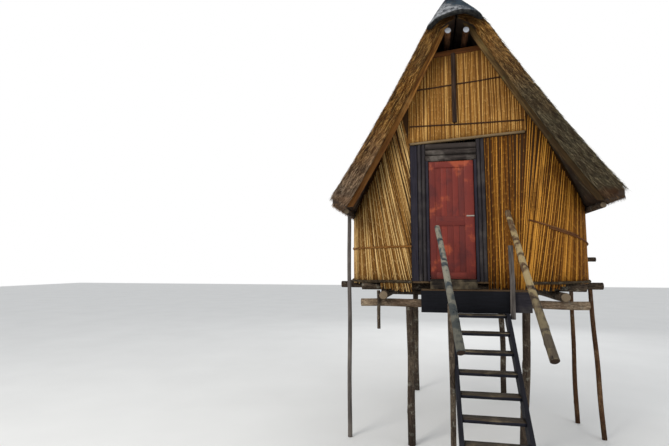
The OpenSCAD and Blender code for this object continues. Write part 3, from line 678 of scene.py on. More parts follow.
def straws(base, tip, width, mark, pick):
    """Long thin pyramids from base to tip, closed at the base, each with its own turn and tone."""
    spin = pick.random(len(base)) * ROUND
    along = unit(tip - base)
    steep = np.abs(along[:, 1:2]) > 0.9
    side = unit(np.cross(along, np.where(steep, np.array([ALONG_X]), np.array([ALONG_Y]))))
    up = np.cross(side, along)
    corners = []
    for k in range(3):
        turn = spin + k * 2 * np.pi / 3
        away = side * np.cos(turn)[:, None] + up * np.sin(turn)[:, None]
        corners.append(base + away * width[:, None])
    points = np.stack(corners + [tip], axis=1).reshape(-1, 3)
    shape = np.array([[0, 1, 2], [1, 0, 3], [2, 1, 3], [0, 2, 3]])
    faces = (np.arange(len(base))[:, None, None] * 4 + shape).reshape(-1, 3)
    return points, faces, np.repeat(pick.random(len(base)), 4), mark


def laid_straws(side, t, y, deep, rise, length, lean, width, mark, pick):
    """Straws that start at t, y and a depth, and end further down the slope and nearer the air."""
    base = on_slope(side, t, y, deep)
    tip = on_slope(side, t + length / SLOPE_LONG, y + lean, deep - rise)
    return straws(base, tip, width, mark, pick)


print("one straw has 4 faces")

# %% [markdown]
# The four kinds of straw differ only in where they start and how they lean. Every number is drawn
# from one seeded generator, so the roof is the same each time.

# %% Straws on both slopes
LYING, FRONT_VERGE, BACK_VERGE, EAVE_FRINGE, HANGING = 28600, 6500, 3500, 4000, 4200


def lying_straws(side, pick):
    def draw(low, high): return pick.uniform(low, high, LYING)
    t, y = draw(-0.12, 1.0), draw(ROOF_FRONT, ROOF_BACK)
    deep, rise = draw(0.004, 0.020), draw(0.008, 0.032)
    length = draw(0.16, 0.34) * np.where(t > 0.9, 0.45, 1.0)
    lean = pick.normal(0, 0.018, LYING)
    return laid_straws(side, np.minimum(t, 0.985), y, deep, rise, length, lean,
                       draw(0.0022, 0.0042), OLD, pick)


def verge_straws(side, verge, out, count, pick):
    """Straws that stand out of one cut end of the slope; out is the way along Y."""
    def draw(low, high): return pick.uniform(low, high, count)
    t = draw(-0.14, 1.0)
    deep = thatch_depth(t) * pick.random(count)
    y = verge - out * draw(0.004, 0.03)
    rise = pick.normal(0.0, 0.012, count)
    return laid_straws(side, np.minimum(t, 0.96), y, deep, rise, draw(0.05, 0.16),
                       out * draw(0.008, 0.042), draw(0.0025, 0.0045), CUT, pick)


def eave_straws(side, pick):
    def draw(low, high): return pick.uniform(low, high, EAVE_FRINGE)
    x = side * (1.95 + 0.2 * pick.random(EAVE_FRINGE))
    height = np.full(EAVE_FRINGE, SKIN_LOW + 0.03)
    base = np.stack([x, draw(ROOF_FRONT, ROOF_BACK), height], axis=-1)
    outward, lean = side * draw(0.01, 0.035), pick.normal(0, 0.012, EAVE_FRINGE)
    tip = base + np.stack([outward, lean, -draw(0.036, 0.075)], axis=-1)
    tip[:, 0] = np.clip(tip[:, 0], -EAVE_HALF - 0.05, EAVE_HALF + 0.05)
    return straws(base, tip, draw(0.0025, 0.004), CUT, pick)


def hanging_straws(side, pick):
    """Straws under the roof, most of them in front of the wall, where they are seen from below."""
    def draw(low, high): return pick.uniform(low, high, HANGING)
    t = draw(0.0, 0.97)
    in_front = pick.random(HANGING) < 0.7
    y = np.where(in_front, draw(ROOF_FRONT, FRONT_Y), draw(ROOF_FRONT, ROOF_BACK))
    fall, length = -draw(0.006, 0.022), draw(0.12, 0.24)
    lean = pick.normal(0, 0.012, HANGING)
    return laid_straws(side, np.minimum(t, 0.93), y, thatch_depth(t) - 0.014, fall, length, lean,
                       draw(0.0025, 0.004), CUT, pick)


for side, seed in ((LEFT, 11), (RIGHT, 12)):
    pick = np.random.default_rng(seed)
    parts = slope_skin(side, seed, pick)
    parts += [lying_straws(side, pick), verge_straws(side, ROOF_FRONT, FRONT, FRONT_VERGE, pick),
              verge_straws(side, ROOF_BACK, BACK, BACK_VERGE, pick), eave_straws(side, pick),
              hanging_straws(side, pick)]
    joined_piece(SIDE_NAME[side] + "_straw", parts,
                 [straw_shadow, old_straw[side], cut_straw[side]], "thatch",
                 [SIDE_NAME[side] + "_thatch"], smooth=False)

# %% [markdown]
# ## Reed walls
# The walls are single reeds, as thick as a finger, tied upright to laths. The plan of the cabin is
# a square with round corners, so each reed has a place along a path that runs round it. Round the
# corners the reeds lean with their tops outwards, and below the floor their ends hang unevenly.

# %% The path round the cabin
WALL_HALF, CORNER, HOUSE_DEEP = 2.0, 1.1, 3.6
FLAT_HALF, ARC = WALL_HALF - CORNER, CORNER * math.pi / 2
MIDDLE_Y = FRONT_Y + HOUSE_DEEP / 2
LEAN_FROM = 0.7


def round_plan(u, side, end, out):
    """x, y of the wall's outside at u metres past the start of a round corner, pushed out by out.
    side is LEFT or RIGHT, and end is FRONT or BACK."""
    turn = np.clip(u / CORNER, 0, math.pi / 2)
    x = FLAT_HALF + CORNER * np.sin(turn) + np.minimum(u, 0) + np.sin(turn) * out
    y = CORNER * (1 - np.cos(turn)) + np.maximum(u - ARC, 0) - np.cos(turn) * out
    return side * x, MIDDLE_Y + end * (HOUSE_DEEP / 2 - y)


def reed_rods(u, lean, low, high, side, end, out, thick, pick, stations=6, corners=5):
    """Reeds from low to high above the floor. u holds at the height LEAN_FROM; from there a reed
    leans along the wall by lean metres a metre."""
    s = np.linspace(0, 1, stations)[None]
    z = low[:, None] + (high - low)[:, None] * s
    sway = 0.006 * np.sin(s * 5.0 + pick.random((len(u), 1)) * ROUND)
    sway = sway * np.minimum(1, (high - low))[:, None]
    away = out[:, None] + 0.002 * np.sin(s * 7.0 + pick.random((len(u), 1)) * ROUND)
    x, y = round_plan(u[:, None] + lean[:, None] * (z - LEAN_FROM) + sway, side, end, away)
    lines = np.stack([x, y, z + FLOOR_Z], axis=-1)
    size = thick[:, None] * (1.0 - 0.25 * s)
    ring = circle_outline(corners)[None, None] * size[..., None, None]
    points, quads, ends = swept(lines, ring, np.tile([side * 0.7, end * 0.7, 0.0], (len(u), 1)))
    tone = pick.random(len(u))
    tones = np.repeat(tone, (stations - 1) * corners)
    return rod_parts(points, quads, ends, tones, end_tone=np.tile(tone, 2))


print("round corners start", FLAT_HALF, "m from the middle")

# %% [markdown]
# The left front wall begins at the dark side board of the door, so its leaning reeds are cut there:
# each starts at the height where it passes the board's edge. Behind the outer layer stands a thin
# inner one, which closes the gaps.

# %% Four quarters of the wall
REED_STEP = 0.0185
PLATE_Z, WALL_REED_TOP, RAIL_RISE, REED_TOP_RISE = 1.116, 2.27, 0.06, 1.6
BACK_GABLE_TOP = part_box("back_gable")[1].z - FLOOR_Z - 0.01
JOIST_REST, JOIST_REST_LOW = (0.66, 0.86), -0.028
BOARD_EDGE_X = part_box("front_left_wall")[0].x - 0.0005
BOARD_EDGE_U = -0.004
DOOR_SIDE_U = -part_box("door_poles")[0].x - FLAT_HALF + 0.02
LEAN_PLACES = (-0.9, -0.25, 0.0, 0.3, 0.9, ARC - 0.1, 3.0)
LEFT_LEAN, RIGHT_LEAN = (0.9, 0.9, 0.9, 0.85, 0.4, 0.0, 0.0), (0.0, 0.05, 0.75, 1.0, 0.6, 0.0, 0.0)


def wall_top(x):
    """Where the reeds end: under the thatch, or under the wall plate at the eaves."""
    return np.maximum(under_thatch(x) + 0.015, PLATE_Z)


def passing_height(edge, u, lean_most):
    """The height where the reeds that lean beside the door pass a place on the flat wall."""
    return LEAN_FROM + (edge - u) / lean_most / LEFT_LEAN[0]


def quarter_wall(side, end, start, lean_most, lean_shares, hang, seed):
    """The reeds of a quarter of the wall, from start metres before a round corner to the middle
    of the side. hang: places and how far the reeds hang there, below the floor where negative."""
    pick = np.random.default_rng(seed)
    beside_door = lean_shares is LEFT_LEAN
    u = np.arange(start, ARC + (HOUSE_DEEP / 2 - CORNER), REED_STEP)
    u = u + pick.normal(0, 0.0024, len(u))
    lean = lean_most * np.interp(u, LEAN_PLACES, lean_shares) + pick.normal(0, 0.008, len(u))
    low = np.interp(u, *hang) + pick.uniform(-0.03, 0.02, len(u))
    low = np.where((u > JOIST_REST[0]) & (u < JOIST_REST[1]), JOIST_REST_LOW, low)
    if beside_door:
        low = np.maximum(low, passing_height(BOARD_EDGE_U, u, lean_most))
    top_u = u + lean * REED_TOP_RISE
    top_x = round_plan(top_u, side, end, 0.0)[0]
    high = wall_top(top_x)
    rail = WALL_REED_TOP + RAIL_RISE * (top_x - RIDGE_X)
    flat_high = rail if end == FRONT else np.minimum(high, BACK_GABLE_TOP)
    high = np.where(top_u < 0.0, flat_high, high)
    keep = high > low + 0.1
    u, lean, low, high = u[keep], lean[keep], low[keep], high[keep]
    out, thick = pick.uniform(-0.001, 0.006, len(u)), pick.uniform(0.0082, 0.0112, len(u))
    outer = reed_rods(u, lean, low, high, side, end, out, thick, pick)
    u, lean, high = u[::2], lean[::2], high[::2] - 0.02
    low, out = np.full(len(u), 0.003), np.full(len(u), -0.051)
    if beside_door:
        outer_points = outer[0][0]
        outer_points[:, 0] = np.minimum(outer_points[:, 0], BOARD_EDGE_X)
        low = np.maximum(low, passing_height(DOOR_SIDE_U, u, lean_most))
    thick = pick.uniform(0.010, 0.013, len(u))
    return outer + reed_rods(u, lean, low, high, side, end, out, thick, pick, 3, 4)


LEFT_HANG = ([-0.2, 0.16, 0.63, 0.70, 0.95, 3.0], [-0.13, -0.16, -0.12, -0.05, -0.035, -0.035])
RIGHT_HANG = ([-0.7, -0.12, 0.0, 0.49, 0.60, 0.68, 3.0],
              [-0.10, -0.10, -0.11, -0.11, -0.06, -0.02, -0.035])
BACK_HANG = ([-0.9, 0.5, 0.9, 3.0], [-0.10, -0.10, -0.04, -0.035])
left_quarters = (quarter_wall(LEFT, FRONT, -0.34, 0.25, LEFT_LEAN, LEFT_HANG, 21)
                 + quarter_wall(LEFT, BACK, -0.9, 0.2, RIGHT_LEAN, BACK_HANG, 23))
right_quarters = (quarter_wall(RIGHT, FRONT, -0.605, 0.175, RIGHT_LEAN, RIGHT_HANG, 22)
                  + quarter_wall(RIGHT, BACK, -0.9, 0.2, RIGHT_LEAN, BACK_HANG, 24))
joined_piece("left_reeds", left_quarters, [wall_reed], "reed")
joined_piece("right_reeds", right_quarters, [deep_reed], "golden_reed")

# %% [markdown]
# ## Poles and logs
# Most of the frame is round wood. Each pole of the solid model is a straight cylinder; here its own
# axis and thickness are read back, and a pole with a slight bend, knots and a sawn end takes its
# place. A node can hold several poles, so its mesh is first split into separate solids: points
# that share an edge are given the same label until nothing changes.

# %% Reading the poles of the solid model
SPOTS_A_METRE = 1e5


def solids_of(node):
    """The separate solids of a CAD node, each as an array of points at rest."""
    shape = nodes[node]
    mesh, place = shape.data, np.array(shape.matrix_world)
    points = np.empty(len(mesh.vertices) * 3)
    mesh.vertices.foreach_get("co", points)
    points = points.reshape(-1, 3) @ place[:3, :3].T + place[:3, 3]
    edges = np.empty(len(mesh.edges) * 2, np.int32)
    mesh.edges.foreach_get("vertices", edges)
    spots = np.round(points * SPOTS_A_METRE).astype(np.int64)
    spots, which = np.unique(spots, axis=0, return_inverse=True)
    which = which.ravel()
    first, second = which[edges[::2]], which[edges[1::2]]
    label = np.arange(len(spots))
    while True:
        low = np.minimum(label[first], label[second])
        new = label.copy()
        np.minimum.at(new, first, low)
        np.minimum.at(new, second, low)
        new = new[new]
        if (new == label).all():
            break
        label = new
    return [spots[label == k] / SPOTS_A_METRE for k in np.unique(label)]


def axis_of(points):
    """Both ends and the radius of a cylinder, lower or left or front end first."""
    heart = points.mean(0) if len(points) > 60 else (points.min(0) + points.max(0)) / 2
    along = np.linalg.svd(points - points.mean(0), full_matrices=False)[2][0]
    along = along * np.sign(along[np.argmax(np.abs(along))])
    far = (points - heart) @ along
    radius = np.median(np.linalg.norm(points - heart - far[:, None] * along, axis=1))
    return heart + along * far.min(), heart + along * far.max(), float(radius)


joists = [axis_of(points) for points in solids_of("floor_joists")]
print("joists:", len(joists), "radius of the first:", round(joists[0][2], 3), "m")

# %% [markdown]
# A pole is one swept circle whose radius changes along and around it. Sines give it a wandering
# axis and an uneven section, and each knot adds a smooth bump. The number called ring is the
# distance from the heart, which the finish of the sawn ends turns into growth rings.

# %% One log
END_ROUND = (0.003, 0.012)


def log_sizes(s, turn, long, radius, taper, rough, knots, pick):
    """The radius at each station and corner; taper and rough are shares of the radius."""
    size = radius * (1 + taper * (0.5 - s))[:, None] * np.ones((1, len(turn)))
    for wave in range(1, 4):
        start = ROUND * pick.random()
        along = 3.0 * s[:, None] * long * pick.uniform(0.4, 1.4)
        size = size * (1 + rough / wave * np.sin(wave * turn[None] + start + along))
    pick.random()  # a draw that is passed over, so that every knot keeps its place
    for _ in range(knots):
        at, angle, high = pick.uniform(0.08, 0.92), pick.uniform(0, ROUND), pick.uniform(0.06, 0.16)
        near = np.exp(-((s - at)[:, None] * long / (0.55 * radius + 0.008)) ** 2)
        off = np.angle(np.exp(1j * (turn - angle)))[None]
        size = size + high * radius * near * np.exp(-(off / 0.55) ** 2)
    size[[0, -1]] *= 0.93
    return size


def log_parts(start, end, radius, seed, bend=0.010, taper=0.0, rough=0.03, knots=3, corners=14,
              rings=22):
    """A round pole between two points, bent by about bend metres: points, quads, the triangles of
    its ends, and the ring value of each point."""
    pick = np.random.default_rng(seed)
    long = float(np.linalg.norm(end - start))
    tip, neck = (distance / long for distance in END_ROUND)
    s = np.concatenate([[0.0, tip], np.linspace(neck, 1 - neck, rings), [1 - tip, 1.0]])
    along = (end - start) / long
    helper = np.array(ALONG_Z if abs(along[2]) < 0.9 else ALONG_Y)
    side = np.cross(along, helper)
    side /= np.linalg.norm(side)
    arch = np.sin(np.pi * s)
    line = start + s[:, None] * (end - start)
    for wander, way in zip(pick.uniform(-1, 1, 2), (side, np.cross(side, along))):
        wave = 0.35 * np.sin(2 * np.pi * s * pick.uniform(0.8, 1.6))
        line = line + (bend * (wander * arch + wave * arch))[:, None] * way
    turn = np.arange(corners) * (2 * np.pi / corners)
    size = log_sizes(s, turn, long, radius, taper, rough, knots, pick)
    outline = np.stack([np.cos(turn)[None] * size, np.sin(turn)[None] * size], axis=-1)
    points, quads, _ = swept(line[None], outline[None], helper[None])
    count = len(points)
    points = np.concatenate([points, line[:1], line[-1:]])
    points[:, 2] = np.maximum(points[:, 2], 0.0)
    first = np.arange(corners)
    last = count - corners + first
    caps = [np.stack([np.roll(first, -1), first, np.full(corners, count)], -1),
            np.stack([last, np.roll(last, -1), np.full(corners, count + 1)], -1)]
    return points, quads, np.concatenate(caps), np.repeat([radius, 0.0], [count, 2])


print("log helpers ready")

# %% [markdown]
# ## Which wood goes where
# The joists and posts are poles with their bark on. The stair is nearly black with age, the
# handrails are peeled and bleached, and the poles round the door have gone grey. Codes give the
# base, the dark and the pale colour of each.

# %% Finishes of the poles
ON_THE_GROUND = (0.5, 0.1, 0.6)
# bark_brown is partly the bark's own brown, partly painted shade of the joists under the floor.
bark_brown = bark_finish("bark_brown", "43382f 1d1713 665849", ALONG_X, 1.0, 0.4)
bark_level = bark_finish("bark_level", "4a3d2e 221a12 6a5b42", ALONG_X, 1.2, 0.2)
ridge_bark = bark_finish("ridge_bark", "5f4029 2b1a10 80593a", ALONG_Y)
bark_upright = bark_finish("bark_upright", "574a3f 261f1b 7d6f5e", ALONG_Z, 1.0, 0.5, ON_THE_GROUND)
bark_deep = bark_finish("bark_deep", "54473b 241d18 786753", ALONG_Y, 1.0, 0.3)
slender_brown = bark_finish("slender_brown", "64452f 332218 836447", ALONG_Z, 1.5, 0.2,
                            (0.4, 0.1, 0.6))
pale_bark = bark_finish("pale_bark", "85705c 45372c b8a388", ALONG_X, 0.8, 0.3)
grey_upright = wood_finish("grey_upright", "6e6762 35312f 9b9287", ALONG_Z, 1.0, 0.85, 0.5,
                           tones=0.3)
door_pole_grey = wood_finish("door_pole_grey", "3e3a3c 1d1a1e 6f6862", ALONG_Z, 1.0, 0.85, 0.45,
                             tones=0.3)
lath_brown = wood_finish("lath_brown", "4a3222 231812 6c4e36", ALONG_X, 1.4, 0.85, 0.4, tones=0.3)
# The pale patches of the lintel poles are partly wear, partly painted highlight on their tops.
lintel_wood = wood_finish("lintel_wood", "4a423e 151210 a59c92", ALONG_X, 1.3, 0.85, 0.55,
                          tones=0.4)
gable_dark = wood_finish("gable_dark", "3f3027 1c1512 5c4a3c", ALONG_Z, 1.0, 0.85, 0.4)
print("finishes of the poles ready")

# %% [markdown]
# The handrails are peeled poles. Dark rings show where branches were, brown stains run along the
# fibres, and the wood between them is bleached. The rings repeat at uneven distances, because noise
# is added to the length before its whole part is dropped.

# %% Handrails and sawn ends
FOOT_OF_THE_RAIL = (3.05, 2.40)


def mottled_finish(name, codes):
    """A peeled pole. codes: its wood, dark rings, pale parts, brown stains and grey foot; the
    darker foot is partly weathering, partly painted shade.
    """
    material, shader, point = finish_of(name, 0.8, shine=0.2)
    wood, ring, pale, stain, foot = paints(codes)
    along = point.vector("DOT_PRODUCT", i1=UP_THE_STAIR)
    cloud = point.noise(3.0, 3.0, 0.6)
    flecks = point.grain(UP_THE_STAIR, 34.0, 12.0).noise(1.4, 6.0, 0.75)
    fibre = point.grain(UP_THE_STAIR, 40.0, 3.0).noise(2.0, 6.0, 0.65)
    phase = (along * 3.1 + cloud * 3.4 + flecks * 0.2).maths("FRACT")
    rings = phase.between(0.13, 0.06) * point.noise(2.1, 2.0, 0.5).between(0.38, 0.50)
    colour = fibre.between(0.35, 0.65).mix(stain, wood)
    colour = (phase.between(0.22, 0.45) * phase.between(0.95, 0.70) * 0.8).mix(colour, pale)
    # Darker grey towards the foot: partly weathering, partly painted shade.
    low = (point.axis(2) + cloud * 0.5).between(*FOOT_OF_THE_RAIL)
    colour = (low * 0.7).mix(colour, foot)
    dark = (rings * 0.85 + flecks.between(0.54, 0.64) * 0.55).clamp()
    connect(shader, Base_Color=dark.mix(colour, ring), Roughness=(flecks * 0.3 + 0.6).clamp(),
            Normal=bump(fibre * 0.5 - dark * 0.4, 0.6, 0.006))
    return material


def cut_end_finish(name, codes):
    """Sawn end grain: rings round the heart, dark with age. codes: heart, rim and cracks."""
    material, shader, point = finish_of(name, 0.85)
    heart, rim, check = paints(codes)
    radius = point.node("Attribute", {"attribute_name": "ring"}, out=2)
    wobble = point.noise(30.0, 3.0, 0.6)
    waves = (radius * 900.0 + wobble * 5.0).maths("SINE") * 0.5 + 0.5
    cracks = point.noise(55.0, 6.0, 0.75).between(0.55, 0.75) * 0.7
    connect(shader, Base_Color=cracks.mix(waves.mix(heart, rim), check),
            Normal=bump(waves * 0.4 + wobble, 0.4, 0.004))
    return material


mottled_warm = mottled_finish("mottled_warm", "6a5b44 211c18 ab986f 533727 44423a")
mottled_cold = mottled_finish("mottled_cold", "4f5251 1a1d20 928d7d 323d44 383a36")
end_grey = cut_end_finish("end_grey", "8a7a64 5c4e3f 2c241d")
end_dark = cut_end_finish("end_dark", "3f3127 2a201a 120d0a")
end_pale = cut_end_finish("end_pale", "c9cdd4 a8acb4 6c6a6a")
print("handrail and end finishes ready")

# %% [markdown]
# Each line below takes the poles of one node, gives them their bark and their ends, and says how
# crooked they are. Poles that carry a board or a door stay straight.

# %% All the logs


def log_piece(name, node, finish, seed, slot="bark_pole", ends=end_grey, cut_top=0.0, **shape):
    """All poles of a node as one piece; cut_top shortens their far ends, in metres."""
    parts, rings = [], []
    pick = np.random.default_rng(seed)
    for k, (start, end, radius) in enumerate(axis_of(points) for points in solids_of(node)):
        end = end - (end - start) * (cut_top / np.linalg.norm(end - start))
        points, quads, caps, ring = log_parts(start, end, radius, seed * 100 + k, **shape)
        parts += rod_parts(points, quads, caps, pick.random(), end_mark=1)
        rings.append(ring)
    joined_piece(name, parts, [finish, ends], slot, [node], rings=np.concatenate(rings))


log_piece("joist_logs", "floor_joists", bark_brown, 31, bend=0.016, rough=0.05, knots=5)
log_piece("bearer_logs", "floor_bearers", bark_deep, 32, bend=0.012, rough=0.05, knots=5)
log_piece("front_beam_logs", "front_cross_logs", pale_bark, 33, "grey_pole", bend=0.012, rough=0.05)
log_piece("back_beam_log", "back_cross_log", bark_brown, 34, bend=0.012, rough=0.05)
trunks = {"front_left_trunk": "front_left_post", "front_right_trunk": "front_right_post",
          "back_trunks": "back_posts"}
for seed, (name, node) in enumerate(trunks.items(), 35):
    log_piece(name, node, bark_upright, seed, bend=0.014, rough=0.05, knots=5, rings=40)
log_piece("slender_poles", "right_side_posts", slender_brown, 38, "brown_pole", bend=0.018,
          taper=0.15, knots=6, rings=50)
log_piece("long_eave_pole", "left_eave_post", grey_upright, 39, "grey_pole", bend=0.018,
          taper=0.15, knots=7, rings=60)
log_piece("hanging_stub", "left_stub_post", bark_upright, 40, bend=0.006, rough=0.05)
log_piece("lintel_poles", "lintel_logs", lintel_wood, 41, "grey_pole", bend=0.0, rough=0.02,
          knots=2, corners=18)
log_piece("door_side_poles", "door_poles", door_pole_grey, 42, "grey_pole", bend=0.0, rough=0.02,
          knots=4, rings=40)
log_piece("gable_upright", "gable_pole", gable_dark, 43, "grey_pole", end_dark, bend=0.003,
          rough=0.04)
log_piece("gable_sticks", "gable_laths", lath_brown, 44, "brown_pole", end_dark, bend=0.004,
          rough=0.06, knots=4)
log_piece("plate_poles", "wall_plates", bark_deep, 45, bend=0.004)
log_piece("ridge_logs", "ridge_poles", ridge_bark, 46, "pale_pole", end_pale, bend=0.004,
          corners=18)
log_piece("left_hand_pole", "left_handrail", mottled_cold, 47, "pale_pole", end_dark, taper=0.30,
          rough=0.04, knots=6, rings=60, corners=18)
log_piece("right_hand_pole", "right_handrail", mottled_warm, 48, "pale_pole", end_dark, bend=0.012,
          taper=0.30, rough=0.04, knots=7, rings=60, corners=18)
log_piece("left_rail_pole", "left_rail_post", bark_upright, 49, bend=0.008, rough=0.05, knots=4)
log_piece("right_rail_pole", "right_rail_post", grey_upright, 50, "grey_pole", cut_top=0.09,
          bend=0.006, rough=0.05)
log_piece("through_pole", "right_pole_end", bark_brown, 51, bend=0.0, knots=1)

# %% [markdown]
# ## Hoops and laths of the walls
# A thick hoop of bent sticks runs round the edge of the floor, and thinner laths tie the reeds half
# way up. No stick is long enough for the whole round, so each course is made of a few sticks whose
# ends overlap. Heights and thickness are read from the solid hoops, so every stick is in its place.

# %% One bent stick
HALF_WAY = ARC + HOUSE_DEEP / 2 - CORNER
STICK_STEP, KNOT_STEP = 0.035, 0.4


def stick_round(side, first, last, height_at, out, radius, seed, mark, corners=9):
    """A bent stick along the wall, from first to last metres past the front end of the hoop.
    height_at gives the height for a distance from the middle of the house."""
    pick = np.random.default_rng(seed)
    w = np.linspace(first, last, int((last - first) / STICK_STEP) + 4)
    away = out + 0.004 * ripple(w, seed, 3, 0.2, 1.1)
    front = round_plan(np.minimum(w, HALF_WAY), side, FRONT, away)
    back = round_plan(np.minimum(2 * HALF_WAY - w, HALF_WAY), side, BACK, away)
    x, y = np.where(w < HALF_WAY, front, back)
    z = height_at(np.abs(x)) + 0.35 * radius * ripple(w, seed + 1, 3, 0.2, 0.9)
    size = radius * (1 + 0.10 * ripple(w, seed + 2, 4, 0.5, 3.0))
    size = size * np.interp(w, [first, last], [1.08, 0.85])
    for knot in pick.uniform(first, last, int((last - first) / KNOT_STEP)):
        size = size * (1 + 0.25 * np.exp(-((w - knot) / 0.018) ** 2))
    outline = circle_outline(corners)[None, None] * size[None, :, None, None]
    points, quads, ends = swept(np.stack([x, y, z], axis=-1)[None], outline, np.array([ALONG_Z]))
    return rod_parts(points, quads, ends, pick.random(), mark, 1)


print("half way round is", round(HALF_WAY, 2), "m from the front end")

# %% [markdown]
# The sticks of a lath are listed by their first and last metre, how far each lies above the lath's
# own height, and its radius. On the right the lath falls towards the side.

# %% Hoops and laths
HOOP_STICKS = ((0.0, 2.3), (2.2, 3.4), (3.3, 2 * HALF_WAY))
LATH_STICKS = {LEFT: [(0.0, 1.6, 0.0, 0.017), (1.45, 3.1, 0.012, 0.014),
                      (2.9, 2 * HALF_WAY, -0.006, 0.015)],
               RIGHT: [(0.0, 0.85, 0.016, 0.014), (0.30, 2.4, -0.014, 0.013),
                       (2.2, 3.9, 0.004, 0.013), (3.7, 2 * HALF_WAY, -0.008, 0.013)]}
LATH_FALL = {LEFT: 0.0, RIGHT: 0.3}
LATH_LIFT, LATH_OUT = 0.012, 0.009
# The left laths are paler than the right ones: partly the sticks' own ochre, partly painted
# sunlight.
hoop_wood = {
    LEFT: wood_finish("hoop_wood", "94642f 4a2d14 d0a468", ALONG_X, 1.2, 0.85, 0.5, tones=0.3),
    RIGHT: wood_finish("right_hoop_wood", "75492a 371f12 ab7f52", ALONG_X, 1.2, 0.85, 0.4,
                       tones=0.3)}
for side in (LEFT, RIGHT):
    node = SIDE_NAME[side] + "_wall_hoops"
    (hoop_low, hoop_high, hoop_reach), (lath_low, _, lath_reach) = sorted(
        (s[:, 2].min(), s[:, 2].max(), np.abs(s[:, 0]).max()) for s in solids_of(node))
    parts, hoop_radius = [], (hoop_high - hoop_low) / 2
    for number, (first, last) in enumerate(HOOP_STICKS):
        parts += stick_round(side, first, last, lambda x: (hoop_low + hoop_high) / 2,
                             hoop_reach - WALL_HALF - hoop_radius, hoop_radius,
                             300 + 10 * side + number, 0)
    for number, (first, last, lift, radius) in enumerate(LATH_STICKS[side]):
        foot = lath_low + LATH_LIFT + lift
        parts += stick_round(side, first, last, lambda x: foot + LATH_FALL[side] * (WALL_HALF - x),
                             lath_reach - WALL_HALF - radius + LATH_OUT, radius,
                             340 + 10 * side + number, 2)
    joined_piece(SIDE_NAME[side] + "_bent_sticks", parts, [bark_level, end_dark, hoop_wood[side]],
                 "bark_pole", [node], rings=np.full(sum(len(p[0]) for p in parts), hoop_radius))

# %% [markdown]
# ## Boards
# The floor and platform are sawn planks with small gaps. Each plank is a rounded outline swept
# along its length, a little bowed, with its own tone. The same function makes the front boards of
# the platform, the boards of the gable and the door leaf.

# %% Planks from outlines
PLANK_END, PLANK_SINK = 0.0025, 0.0015


def plank_parts(start, end, wide, thick, seed, upward=ALONG_Z, rounding=0.003, bow=0.002,
                stations=16, mark=0):
    """One plank from start to end along its middle line; wide is level across, thick is upward."""
    pick = np.random.default_rng(seed)
    start, end, up = np.array(start, float), np.array(end, float), np.array(upward, float)
    long = np.linalg.norm(end - start)
    s = np.concatenate([[0, PLANK_END / long], np.linspace(0, 1, stations)[1:-1],
                        [1 - PLANK_END / long, 1.0]])
    side = np.cross(up, (end - start) / long)
    line = start + s[:, None] * (end - start)
    sideways = (bow * ripple(s * long, seed + 5, 3, 0.1, 0.5))[:, None]
    line = line + sideways * side[None] * np.sin(np.pi * s)[:, None]
    shrink = np.ones(len(s))
    shrink[[0, -1]] = 1 - 2 * rounding / max(wide, thick)
    worn = 1 + 0.006 * ripple(s * long, seed + 9, 3, 0.5, 2.5)
    outlines = board_outline(wide, thick, rounding)[None] * (shrink * worn)[:, None, None]
    points, quads, ends = swept(line[None], outlines[None], up[None])
    return rod_parts(points, quads, ends, pick.random(), mark, mark)


def plank_row(node, along, wide, seed, gap=0.005):
    """Planks that fill the box of a node, running along X (0) or Y (1)."""
    low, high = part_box(node)
    across = 1 - along
    count = max(1, round((high[across] - low[across]) / wide))
    step = (high[across] - low[across]) / count
    pick = np.random.default_rng(seed)
    found = []
    for k in range(count):
        start, end = [0, 0, 0], [0, 0, 0]
        start[across] = end[across] = low[across] + step * (k + 0.5)
        start[along] = low[along] + pick.uniform(0, 0.004)
        end[along] = high[along] - pick.uniform(0, 0.004)
        start[2] = end[2] = (low.z + high.z) / 2 - pick.uniform(0, PLANK_SINK)
        found += plank_parts(start, end, step - gap, high.z - low.z - 0.003, seed + 10 * k)
    return found


print("plank helpers ready")

# %% [markdown]
# The front of the platform is closed by a long dark board and, on the right, a lower grey one. The
# boards of the floor lie across the joists, from front to back. Their ends are sawn along the round
# edge of the floor, so every board has its own length: each point is moved between the front and
# the back edge that hold at its own distance from the middle.

# %% Platform and floor
PLANK_BROWN = "6d5840 3d3024 8f7c60"
GREY_BOARD_X, GREY_BOARD_GAP, GREY_BOARD_LIFT = 0.565, 0.006, 0.004
plank_brown = wood_finish("plank_brown", PLANK_BROWN, ALONG_X, 0.9, 0.85, 0.4, tones=0.3)
floor_brown = wood_finish("floor_brown", PLANK_BROWN, ALONG_Y, 0.9, 0.85, 0.4, tones=0.3)
dark_board = wood_finish("dark_board", "121319 08080c 2c2c33", ALONG_X, 1.0, 0.7, 0.35, tones=0.3)
grey_board = wood_finish("grey_board", "333036 18171b 6e685e", ALONG_X, 1.0, 0.85, 0.5, tones=0.2)
joined_piece("platform_planks", plank_row("platform_boards", 0, 0.125, 61), [plank_brown],
             "dark_timber", ["platform_boards"])

low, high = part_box("platform_fascia")
middle_y, middle_z = (low.y + high.y) / 2, (low.z + high.z) / 2
dark_parts = plank_parts((low.x, middle_y, middle_z), (GREY_BOARD_X, middle_y, middle_z),
                         high.y - low.y - 0.002, high.z - low.z, 62, bow=0.001)
joined_piece("fascia_dark_board", dark_parts, [dark_board], "dark_timber", ["platform_fascia"])
grey_z = middle_z + GREY_BOARD_LIFT
grey_start = (GREY_BOARD_X + GREY_BOARD_GAP, middle_y, grey_z)
grey_parts = plank_parts(grey_start, (high.x, middle_y, grey_z), high.y - low.y - 0.004,
                         high.z - low.z - 0.03, 63, bow=0.001)
joined_piece("fascia_grey_board", grey_parts, [grey_board], "grey_pole")

